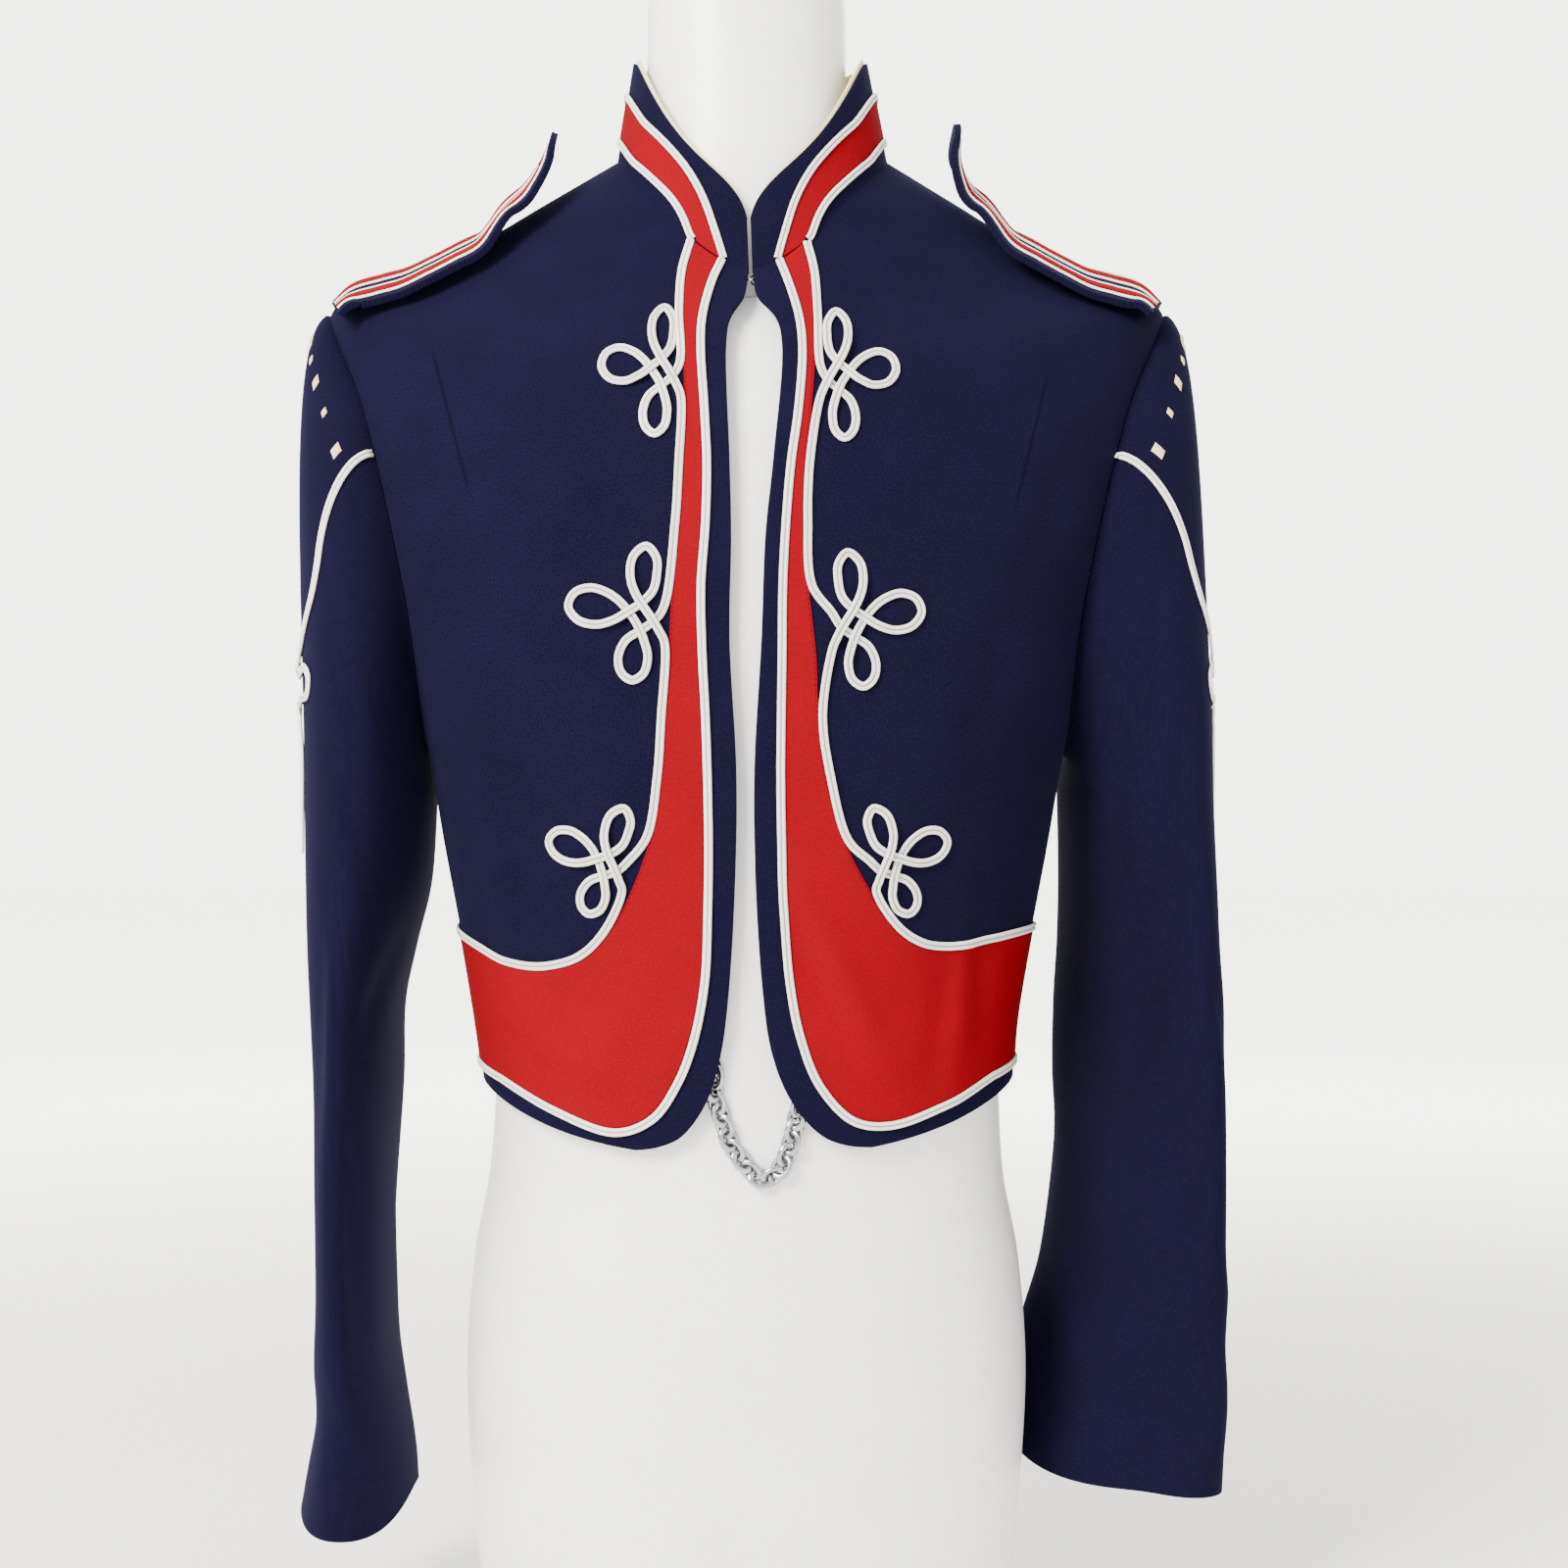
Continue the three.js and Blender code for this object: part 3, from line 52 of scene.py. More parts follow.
MM = 0.001
TO_MM = 1000  # settings are in metres, the tables below in mm
MIDDLE = np.array([6.2073, -2.2173, 0.0])  # the middle of the box in the tables below, in mm
SIDE = math.pi / 2
DEGREE = math.pi / 180
SIDES = (("right", -1), ("left", 1))  # the wearer's right is towards -X

# Lengths that the pieces share, in mm
BRAID_LIFT = 0.45
BRAID_STEP = 1.5
COLLAR_CLOTH = 1.8
LINING = 1.2
SEAM = 0.3

# Torso rings from the hem to the neck seam: half width, depth in front and behind, height at the
# front, side and back, exponent of the rise, x of the middle, y of the side, outline exponent
RINGS = np.array([
    (138, 105, 98, 255, 285, 278, 2.6, 1, 0, 2.4),
    (141, 107, 100, 300, 314, 310, 2.6, 0, 0, 2.4),
    (148, 111, 104, 352, 356, 356, 2.3, 0, 0, 2.4),
    (157, 116, 110, 404, 404, 404, 2.3, 0, 0, 2.4),
    (165, 119, 114, 452, 450, 455, 2.3, 0, 0, 2.4),
    (178, 120, 118, 505, 510, 512, 2.3, 0, 0, 2.4),
    (195, 117, 119, 556, 572, 574, 2.3, 0, 4, 2.35),
    (210, 108, 114, 602, 634, 636, 2.3, 0, 9, 2.2),
    (220, 98, 104, 632, 684, 686, 2.2, 0, 14, 1.95),
    (185, 92, 96, 650, 700, 714, 2.1, 0, 16, 1.9),
    (147, 85, 86, 666, 719, 738, 2.0, 1, 15, 1.95),
    (108, 78, 74, 679, 741, 757, 1.8, 2, 11, 2.05),
    (71, 70, 60, 691, 761, 768, 1.6, 3, 5, 2.2),
])
NECK = len(RINGS) - 1
UNDERARM = 4
TIP = 8
ARMHOLE_FRONT = 27.5 * DEGREE
ARMHOLE_BACK = 24 * DEGREE

# Front edges: height, x of the wearer's right edge and of the left edge
EDGES = np.array([
    (255, -52, 62), (258, -41, 50), (264, -30, 38), (281, -18, 23.5), (304, -11, 14),
    (338, -6.7, 9), (405, -3.3, 5.5), (445, -3.3, 5.5), (505, -6.4, 8.8), (555, -5.7, 10.7),
    (592, -6.6, 14.4), (650, -8.7, 18.7), (664, -7, 16), (677, 0, 6.2), (692, 2.1, 3.9),
])

# Red panels from the neck seam to the side: x, z of the inner braid, then of the outer braid
PANEL = {
    "right": np.array([
        (-11.4, 695.8, -27, 706.3), (-16, 684, -31, 690), (-20.5, 664, -32, 668),
        (-21, 648, -31, 644),
        (-19, 618, -30.5, 616), (-17.5, 590, -31, 588), (-18, 560, -32.5, 560),
        (-20, 530, -35.5, 528), (-19.5, 500, -37, 500), (-18, 470, -39, 466),
        (-17, 440, -41, 438), (-16.5, 405, -46, 410), (-17, 372, -55.5, 384),
        (-18.5, 340, -67, 364), (-24, 311, -79, 352), (-32, 290, -93, 347),
        (-44, 273, -107, 346), (-62, 266, -120, 349), (-92, 275, -135, 355),
        (-121, 288, -145, 359),
    ]),
    "left": np.array([
        (17.4, 695.6, 31, 705.4), (21.5, 684, 34.5, 690), (27, 664, 36, 668),
        (28.5, 646, 36.5, 646),
        (26.5, 616, 34.5, 616), (23, 590, 32, 590), (20.5, 560, 31, 562), (19, 530, 33, 530),
        (18.7, 500, 36.5, 498), (18.3, 470, 38, 468), (18, 440, 42, 438),
        (18.5, 405, 50.5, 408), (19.5, 375, 63, 384), (22, 342, 75, 366), (27.5, 313, 87, 358),
        (37, 289, 99, 356), (53, 272, 112, 357), (70, 269, 124, 359), (98, 277, 137, 361),
        (124, 289, 146, 362),
    ]),
}
SIDE_BAND = (0.36, 2.12)  # rings where the two braids cross the side seam
RED_BAND = (SIDE_BAND[0] + 0.04, SIDE_BAND[1] - 0.0275)  # the same for the red cloth
RED_SEAM = 0.002  # angle that the red cloth keeps from the side seam
BAND_ANCHORS = 29  # places that hold a strand across the back

# A braid knot: outward, upward and strands that it lies on
KNOT = np.array([
    (-7.4, 5.5, 0), (-3.6, -1.9, 0), (1.6, -6.6, 0), (7.6, -12, 0), (10.2, -20.5, 0),
    (8.6, -27.7, 0), (4.3, -31, 0), (-0.2, -27.4, 0), (-1.7, -19.5, 0.5), (-0.2, -12, 1),
    (2.6, -4.6, 0.9), (6.2, 1.6, 0.1), (10.6, 7.4, 0), (16, 11.6, 0), (22.6, 13.6, 0),
    (28.8, 10.8, 0), (30.9, 4, 0), (26.8, -2.4, 0), (19.5, -4.4, 0.4), (12.6, -2.2, 1.1),
    (6.6, 2.3, 1.2), (0.8, 7.4, 1), (-2.9, 13.2, 0.5), (-4, 20.5, 0), (-3.6, 29, 0),
    (0.6, 34.6, 0), (5.4, 30, 0), (6.6, 22.6, 0.5), (5.2, 14.6, 1.6), (1.9, 7.2, 2.2),
    (-2.2, 0.4, 2.1), (-5.8, -6.4, 1.4), (-8.2, -12.6, 0.4),
])
# Knots of a front: x, z of the middle, size outward and upward, turn in degrees
KNOTS = {
    "right": ((-38.5, 635, 1, 1, 0), (-46.6, 515, 1.2, 0.98, 2), (-63.5, 396, 1.05, 0.82, 15)),
    "left": ((44.5, 633, 0.96, 1, 0), (51, 512, 1.12, 0.98, 3), (69, 396, 1.02, 0.82, 15)),
}
KNOT_REACH = 8

COLLAR_TOP = np.array([61.5, 66, 52, 709, 813, 815, 1, 2, 3, 2.2])
COLLAR_VEE = (0.53, 0.42, 3)
COLLAR_BRAIDS = np.array([
    (-10.3, 696.7, -25.4, 703.3), (-15, 712, -28, 712), (-20.5, 728, -31.5, 721),
    (-28, 742.5, -37, 730), (-37, 755, -45.5, 740), (-51, 772, -57, 753),
])
COLLAR_RISE = (0.25, 0.66)
COLLAR_BEHIND = (-1.75, -2.2, -2.65)
COLLAR_HEIGHT = 50

STRAP = {
    "half": 26, "face": 3.5, "wall": 3.4, "crown": 0.7, "lift": 1.7, "rest": 135,
    "start": 216, "depth": -15, "tilt": 27 * DEGREE, "step": 13.5, "turned": 86 * DEGREE,
}
STRAP_FREE = {
    "right": ((123, 731), (111.5, 742), (102, 757), (97, 772)),
    "left": ((123, 732), (112.5, 743), (106.5, 759), (106.5, 777)),
}
# Trims of a strap: distance from its middle and width
STRAP_TRIMS = (("braid_outer", 18.6, 3.2), ("red", 12.1, 8.3), ("braid_inner", 5.9, 2.5))
STRAP_RED_HEIGHT = 1.25
STRAP_BRAID = {"share": 0.6, "lift": 0.15}  # share of the other braids' height

# Sleeves: height, x of the middle, y, half the long and short width, turn in degrees
SLEEVES = {
    "right": np.array([
        (430, 196.5, 2, 86, 31.3, 0), (384, 197.7, 2, 84, 29.5, 0), (350, 201.1, 1, 80, 25, 0),
        (318, 203.5, 0, 76, 21, 0), (280, 202.8, -2, 73, 20, 0), (236, 203.3, -4, 71, 18.6, 0),
        (180, 202.8, -6, 70, 17.6, 0), (143, 202.1, -7, 69, 17.6, 0), (114, 200, -8, 67, 20, 0),
        (85, 200.2, -8, 64, 25.6, 0), (57, 201.3, -8, 60, 28.6, 0),
    ]),
    "left": np.array([
        (430, 202.5, 2, 86, 29.5, 11), (384, 203.7, 2, 83, 26, 15), (350, 203.9, 2, 79, 24, 19),
        (318, 203.7, 2, 76, 22.5, 24), (280, 203.1, 2, 74, 21, 27), (236, 203.8, 2, 72, 20, 28),
        (180, 201, 2, 71, 20, 32), (143, 196.4, 2, 69, 21.5, 41), (114, 194.4, 2, 67, 23, 46),
        (92, 192.6, 2, 65, 24.5, 49), (72, 192.6, 2, 62, 26.5, 52),
    ]),
}
SLEEVE_ROUND = 2.2
TUCK = (2.6, 1.3)  # how far a sleeve's edge goes inward and under the body's edge
# Where the hem of a sleeve is raised: angle round it, half the width in degrees, height
HEM_LIFTS = {"right": ((0, 42, 9), (180, 42, 13)), "left": ((252, 38, 14),)}
SLEEVE_SET = {"inside": 0.006, "above": 0.4, "outward": 1.2, "low": 4, "high": 70,
              "drop": 0.12, "forward": 1.3}
# Soft troughs of the sleeves: angle round the sleeve, height, lean for each 100 mm, half length,
# half width in degrees, depth
SLEEVE_FOLDS = {
    "right": (
        (62, 318, 14, 62, 17, 3.5), (118, 215, -10, 70, 16, 3), (248, 290, 12, 80, 18, 4),
        (35, 140, 30, 24, 22, -1.6), (75, 118, -34, 22, 18, 1.8), (140, 330, 46, 26, 14, 2),
        (100, 420, -40, 34, 13, 1.8), (300, 150, 34, 30, 18, 2), (212, 200, -26, 40, 15, 2.2),
    ),
    "left": (
        (118, 400, -26, 85, 20, 7), (132, 250, 20, 80, 17, 5), (150, 100, -18, 60, 20, 7),
        (250, 300, 12, 90, 18, 4), (60, 145, 60, 16, 24, 1.4), (58, 176, 70, 14, 20, -1.2),
        (80, 330, 40, 40, 14, 1.8), (300, 200, -30, 36, 16, 2), (210, 140, 30, 34, 16, 2.4),
    ),
}
# The braid of a sleeve: forward of the outer line, height, strands that it lies on
SLEEVE_BRAID = np.array([
    (93, 603, 0), (90, 596, 0), (86, 585, 0), (82, 572, 0), (79, 558, 0), (77, 543, 0),
    (73, 530, 0), (66, 519, 0), (56, 508, 0), (47, 500, 0.4), (40, 495, 1.1), (31, 491, 0.5),
    (20, 494, 0), (10, 489, 0), (12, 480, 0), (27, 478, 0.4), (40, 474, 1.1), (46, 466, 0.4),
    (49.5, 450, 0), (48, 430, 0), (44.4, 413, 0), (40, 402, 0), (35.6, 413, 0), (32, 430, 0),
    (30.5, 450, 0), (34, 466, 0.4), (40, 474, 0), (53, 478, 0.4), (68, 480, 0), (70, 489, 0),
    (60, 494, 0), (49, 491, 0.5), (40, 495, 0), (31, 500, 0.4), (16, 507, 0), (-6, 517, 0),
    (-30, 531, 0), (-52, 549, 0), (-70, 570, 0), (-83, 588, 0), (-93, 603, 0),
])

# Dress form: its clearance inside the jacket, then rows of height, half width, front and back
FORM_INSET = {"half": 8, "front": 8.5, "back": 7, "top": 8, "tip": 10, "reach": 1.6}
FORM_HIPS = ((0, 136, 94, 104), (60, 142, 97, 110), (130, 146, 97, 112), (190, 142, 96.5, 105),
             (235, 134, 96, 95))
FORM_ROWS = (0.3, 0.8, 1.5, 2.2, 3, 4, 5, 6, 6.8, 7.5, 8, 8.5, 9.2, 10, 10.8, 11.5, 12)
FORM_NECK = ((788, 53, 50, 46), (820, 52, 46, 46), (846, 51, 45, 46), (860, 46, 40, 41),
             (867, 34, 29, 30), (869, 15, 13, 13.5))

CHAIN_LINE = np.array([
    (-22, 309), (-14.5, 299), (-14, 285), (-10.3, 272.7), (-6.5, 261), (1.1, 250),
    (8.7, 243.5), (15.8, 246), (21, 255), (24.5, 267), (27.5, 279), (35, 289),
])
CHAIN_Y = -99.4
CHAIN_PITCH = 6.1
# A link of the chain: radii of its wire and ring, share that it is drawn out, twist either way
LINK = {"wire": 1.35, "ring": 3.9, "long": 1.32, "twist": 27 * DEGREE}

# Stitched lozenges of a sleeve head: how many on either side of the middle one, distance from
# one to the next, height of the middle one and fall, half heights, share of width to height
LOZENGES = {"beside": 6, "pitch": 13.4, "top": 672, "fall": 1.9, "large": 4.6, "small": 3.0,
            "slim": 0.72}

CAMERA = (19.6, -1300, 435.2)
# Floor, in m: half its width, how far it lies under the form, where it starts to look bright
# and where it looks as bright as the room
FLOOR = {"half": 9, "under": 0.0005, "near": 0.5, "far": 2.4}
# Lights: name, place, target, width and height in m, watts and colour
LIGHTS = (
    ("Key", (-1.5, -2.0, 1.9), (0, 0, 0.5), (1.2, 1.2), 265, (1.0, 0.98, 0.95)),
    ("Fill", (1.9, -1.5, 1.0), (0, 0, 0.45), (1.6, 1.8), 16, (0.95, 0.97, 1.0)),
    ("Top", (0, 0.3, 2.6), (0, 0, 0.5), (2.0, 2.0), 34, (1, 1, 1)),
    ("Behind", (0.4, 2.2, 1.6), (0, 0, 0.5), (2.0, 1.6), 40, (1, 1, 1)),
)

# Soft folds of the body: x, z of the middle, half width, half length, lean in degrees, height
BODY_FOLDS = (
    (-119, 378, 7, 34, 4, 2.6), (-108, 372, 8, 30, -6, -1.4), (106, 330, 6, 46, -3, 1.5),
    (118, 336, 6, 40, 2, -1.4), (96, 322, 7, 34, -8, -1.0), (46, 344, 9, 46, 26, 2.4),
    (30, 356, 9, 40, 24, -2.0), (-60, 318, 12, 40, -32, 1.8), (-118, 470, 13, 60, 12, -2.2),
    (120, 476, 13, 60, -12, -2.2), (-92, 560, 16, 60, -24, 1.3), (96, 566, 16, 60, 22, 1.3),
    (-150, 560, 12, 46, 10, -2.0), (152, 566, 12, 46, -10, -2.0), (-70, 450, 18, 60, 10, 1.0),
    (78, 452, 18, 60, -12, 1.0),
)
# The same for the back
BACK_FOLDS = (
    (-96, 500, 15, 90, 10, 1.8), (90, 505, 15, 86, -12, 1.8), (0, 420, 22, 70, 3, -1.6),
    (-60, 640, 20, 42, 40, 1.2), (64, 642, 20, 42, -38, 1.2), (-128, 430, 10, 50, -8, -1.6),
    (124, 426, 10, 52, 9, -1.6), (0, 700, 34, 14, 0, 1.1), (-40, 330, 10, 44, 6, 1.1),
    (52, 334, 10, 44, -9, 1.1),
)


# Tables and lines

def table_at(table, place):
    """Every column of a table at broken row numbers, read smoothly."""
    last = len(table) - 1
    at = np.clip(np.asarray(place, float), 0, last)
    row = np.minimum(np.floor(at).astype(int), last - 1)
    t = (at - row)[..., None]
    a, b, c, d = (table[np.clip(row + step, 0, last)] for step in (-1, 0, 1, 2))
    turn = (c - a) * t + (2 * a - 5 * b + 4 * c - d) * t ** 2 + (3 * b - a - 3 * c + d) * t ** 3
    return b + turn / 2


def solve(low, high, value, rising, steps=32):
    """Where a rising function reaches each value."""
    low = np.full(np.shape(value), float(low))
    high = np.full(np.shape(value), float(high))
    for _ in range(steps):
        middle = (low + high) / 2
        below = rising(middle) < value
        low = np.where(below, middle, low)
        high = np.where(below, high, middle)
    return (low + high) / 2


def curve_cubics(points):
    """Centripetal curve through points: the four factors of each stretch."""
    before = 2 * points[0] - points[1]
    after = 2 * points[-1] - points[-2]
    whole = np.vstack([before, points, after])
    steps = np.maximum(np.sqrt(np.linalg.norm(np.diff(whole, axis=0), axis=1)), 1e-3)[:, None]
    p0, p1, p2, p3 = whole[:-3], whole[1:-2], whole[2:-1], whole[3:]
    d0, d1, d2 = steps[:-2], steps[1:-1], steps[2:]
    t1 = ((p1 - p0) / d0 - (p2 - p0) / (d0 + d1) + (p2 - p1) / d1) * d1
    t2 = ((p2 - p1) / d1 - (p3 - p1) / (d1 + d2) + (p3 - p2) / d2) * d1
    return p1, t1, -3 * p1 + 3 * p2 - 2 * t1 - t2, 2 * p1 - 2 * p2 + t1 + t2


def smooth_line(points, step, keys=2, counts=None):
    """A smooth line through rows of points in steps of about the given length, or with the
    given count of steps for each stretch.

    The first columns, as many as keys, are the place; the others are carried along.
    """
    points = np.asarray(points, float)
    factors = curve_cubics(points[:, :keys])
    rows = []
    for i in range(len(points) - 1):
        length = np.linalg.norm(points[i + 1, :keys] - points[i, :keys])
        count = max(1, round(length / step)) if counts is None else counts[i]
        t = (np.arange(count) / count)[:, None]
        c0, c1, c2, c3 = (factor[i] for factor in factors)
        place = c0 + c1 * t + c2 * t ** 2 + c3 * t ** 3
        ease = t * t * (3 - 2 * t)
        rest = points[i, keys:] * (1 - ease) + points[i + 1, keys:] * ease
        rows.append(np.hstack([place, rest]))
    rows.append(points[-1:])
    return np.vstack(rows)


def distances(points):
    """How far along a line of points each of them lies."""
    steps = np.linalg.norm(np.diff(points, axis=0), axis=1)
    return np.concatenate([[0], np.cumsum(steps)])


def even_line(points, count):
    """The same line cut into equal steps."""
    reach = distances(points)
    at = np.linspace(0, reach[-1], count)
    return np.stack([np.interp(at, reach, column) for column in points.T], axis=1)


def nearest(share, count):
    """The whole number of the step at a share of a count of steps."""
    return np.rint(share * count).astype(int)


def softened(line, times):
    """The line with its bends evened out and its ends kept."""
    for _ in range(times):
        line[1:-1] = (line[:-2] + 2 * line[1:-1] + line[2:]) / 4
    return line


def sideways(points, distance):
    """A flat line moved to the left of its direction."""
    way = np.gradient(points[:, :2], axis=0)
    way /= np.linalg.norm(way, axis=1)[:, None]
    moved = points.copy()
    moved[:, 0] -= way[:, 1] * distance
    moved[:, 1] += way[:, 0] * distance
    return moved


# Surfaces of the jacket. Each turns two numbers into places in mm.

def ring_point(ring, angle, rise=None):
    (half, front, back, z_front, z_side, z_back, power, middle, ridge, outline) = np.moveaxis(
        ring, -1, 0
    )
    sine, cosine = np.sin(angle), np.cos(angle)
    reach = (np.abs(sine) ** outline + np.abs(cosine) ** outline) ** (-1 / outline)
    across = reach * sine
    ahead = cosine > 0
    depth = np.where(ahead, front, back)
    z_middle = np.where(ahead, z_front, z_back)
    share = np.abs(across) ** power if rise is None else rise(np.abs(across))
    x = middle + half * across
    y = -depth * reach * cosine + ridge * across ** 2
    return np.stack([x, y, z_middle + (z_side - z_middle) * share], axis=-1)


def plain_torso(angle, row):
    return ring_point(table_at(RINGS, row), angle)


def normal_of(surface, a, b, out=1):
    small = 0.0015
    along_a = surface(a + small, b) - surface(a - small, b)
    along_b = surface(a, b + small) - surface(a, b - small)
    normal = np.cross(along_a, along_b) * out
    return normal / np.maximum(np.linalg.norm(normal, axis=-1), 1e-9)[..., None]


def fold_heights(x, z, folds):
    total = np.zeros(np.shape(x))
    for fold_x, fold_z, width, length, lean, height in folds:
        turn = lean * DEGREE
        across = (x - fold_x) * math.cos(turn) + (z - fold_z) * math.sin(turn)
        along = (z - fold_z) * math.cos(turn) - (x - fold_x) * math.sin(turn)
        total += height * np.exp(-(across / width) ** 2 - (along / length) ** 2)
    return total


def torso(angle, row):
    """The outer face of the body's wool, with its folds."""
    point = plain_torso(angle, row)
    x, z = point[..., 0], point[..., 2]
    ahead = np.clip(np.cos(angle) * 3, 0, 1)
    behind = np.clip(-np.cos(angle) * 3, 0, 1)
    height = fold_heights(x, z, BODY_FOLDS) * ahead + fold_heights(x, z, BACK_FOLDS) * behind
    near_neck = np.clip((NECK - row) / 1.5, 0, 1)
    return point + normal_of(plain_torso, angle, row) * (height * near_neck)[..., None]


def angle_at(x, ring):
    half, middle, outline = ring[..., 0], ring[..., 7], ring[..., 9]
    across = np.clip((x - middle) / half, -0.9995, 0.9995)
    return np.arctan2(across, (1 - np.abs(across) ** outline) ** (1 / outline))


def on_front(x, z):
    """Angle and ring number of the places on the front at x and z."""
    x, z = np.asarray(x, float), np.asarray(z, float)

    def height(row):
        return plain_torso(angle_at(x, table_at(RINGS, row)), row)[..., 2]

    row = solve(0, NECK, z, height)
    return angle_at(x, table_at(RINGS, row)), row


def collar_rise(across):
    share, sharp, even = COLLAR_VEE
    return share * across ** sharp + (1 - share) * across ** even


def collar(angle, height):
    ring = np.broadcast_to(COLLAR_TOP, np.shape(angle) + COLLAR_TOP.shape)
    top = ring_point(ring, angle, collar_rise)
    foot = plain_torso(angle, np.full(np.shape(angle), float(NECK)))
    return foot + (top - foot) * np.asarray(height)[..., None]


def on_collar(x, z):
    x, z = np.asarray(x, float), np.asarray(z, float)

    def angle(height):
        ring = np.stack(np.broadcast_arrays(*[
            low + (high - low) * height for low, high in zip(RINGS[NECK], COLLAR_TOP)
        ]), axis=-1)
        ring[..., -1] = COLLAR_TOP[-1]
        return angle_at(x, ring)

    height = solve(0, 1, z, lambda share: collar(angle(share), share)[..., 2])
    return angle(height), height


def on_shoulder(side, x, y):
    def row_at(angle):
        return solve(TIP, NECK, -x, lambda row: -side * plain_torso(side * angle, row)[..., 0])

    angle = solve(SIDE / 5, SIDE, y, lambda turn: plain_torso(side * turn, row_at(turn))[..., 1])
    row = row_at(angle)
    return plain_torso(side * angle, row), normal_of(plain_torso, side * angle, row)


def strap_surface(name, side):
    """The underside of a shoulder strap: along it from the shoulder tip, and across it."""
    places = []
    x = STRAP["start"]
    while x >= STRAP["rest"] - 1:
        point, normal = on_shoulder(side, np.array(float(x)), np.array(float(STRAP["depth"])))
        places.append(point + normal * STRAP["lift"])
        x -= STRAP["step"]
    places += [np.array([side * x, STRAP["depth"], z]) for x, z in STRAP_FREE[name]]
    dense = smooth_line(np.array(places), 0.25, keys=3)
    reach = distances(dense)
    length = reach[-1]
    tilted = np.array([0, math.cos(STRAP["tilt"]), math.sin(STRAP["tilt"])])
    tangents = np.gradient(dense, axis=0)
    tangents /= np.linalg.norm(tangents, axis=1)[:, None]

    def surface(along, across):
        at = np.clip(along, 0, length)
        point = np.stack([np.interp(at, reach, dense[:, k]) for k in range(3)], axis=-1)
        way = np.stack([np.interp(at, reach, tangents[:, k]) for k in range(3)], axis=-1)
        way /= np.linalg.norm(way, axis=-1)[..., None]
        over = tilted - way * (way @ tilted)[..., None]
        over /= np.linalg.norm(over, axis=-1)[..., None]
        beyond = np.asarray(along) - at
        return point + way * beyond[..., None] + over * np.asarray(across)[..., None]

    return surface, length


def sleeve_ring(name, side, row, angle):
    z, middle, y, long, short, turn = np.moveaxis(table_at(SLEEVES[name], row), -1, 0)
    cosine, sine = np.cos(angle), np.sin(angle)
    total = np.abs(cosine) ** SLEEVE_ROUND + np.abs(sine) ** SLEEVE_ROUND
    reach = total ** (-1 / SLEEVE_ROUND)
    outward, forward = short * reach * cosine, long * reach * sine
    turn = turn * DEGREE
    share = np.clip(row - len(SLEEVES[name]) + 2, 0, 1)
    for place, width, height in HEM_LIFTS[name]:
        off = (angle / DEGREE - place + 180) % 360 - 180
        z = z + height * share * np.exp(-(off / width) ** 2)
    return np.stack([
        side * (middle + outward * np.cos(turn) + forward * np.sin(turn)),
        y - forward * np.cos(turn) + outward * np.sin(turn),
        z,
    ], axis=-1)


def armhole_point(side, angle):
    """The armhole seam at an angle round the sleeve, 0 at the tip and a quarter turn in front."""
    row = UNDERARM + (TIP - UNDERARM) * (1 + np.cos(angle)) / 2
    most = np.where(np.sin(angle) > 0, ARMHOLE_FRONT, ARMHOLE_BACK)
    turn = side * (SIDE - np.sin(angle) * (most - SLEEVE_SET["inside"]))
    point = plain_torso(turn, row) + normal_of(plain_torso, turn, row) * SLEEVE_SET["above"]
    point[..., 0] += side * SLEEVE_SET["outward"]
    return point


def sleeve_surface(name, side):
    """A sleeve from the armhole, at 0, past the underarm, at 1, to the cuff."""

    def raw(angle, down):
        angle, down = np.broadcast_arrays(np.asarray(angle, float), np.asarray(down, float))
        start = armhole_point(side, angle)
        end = sleeve_ring(name, side, np.zeros(angle.shape), angle)
        t = np.clip(down, 0, 1)[..., None]
        top = (1 + np.cos(angle)) / 2
        drop = start[..., 2] - end[..., 2]
        leave = np.stack([
            side * (SLEEVE_SET["low"] + (SLEEVE_SET["high"] - SLEEVE_SET["low"]) * top),
            SLEEVE_SET["forward"] * (end[..., 1] - start[..., 1]),
            -SLEEVE_SET["drop"] * drop,
        ], axis=-1)
        arrive = np.stack([0 * drop, 0 * drop, -drop], axis=-1)
        head = (start * (2 * t ** 3 - 3 * t ** 2 + 1) + leave * (t ** 3 - 2 * t ** 2 + t)
                + end * (3 * t ** 2 - 2 * t ** 3) + arrive * (t ** 3 - t ** 2))
        arm = sleeve_ring(name, side, np.maximum(down - 1, 0), angle)
        return np.where((down >= 1)[..., None], arm, head)

    def surface(angle, down):
        spot = raw(angle, down)
        z = spot[..., 2]
        depth = np.zeros(z.shape)
        for fold_angle, fold_z, lean, reach, width, deep in SLEEVE_FOLDS[name]:
            centre = fold_angle + lean * (z - fold_z) / 100
            across = (np.asarray(angle) / DEGREE - centre + 180) % 360 - 180
            depth += deep * np.exp(-(across / width) ** 2 - ((z - fold_z) / reach) ** 2)
        return spot - normal_of(raw, angle, down, side) * depth[..., None]

    return surface


# Meshes

def link(name, data):
    obj = bpy.data.objects.new(name, data)
    bpy.context.scene.collection.objects.link(obj)
    return obj


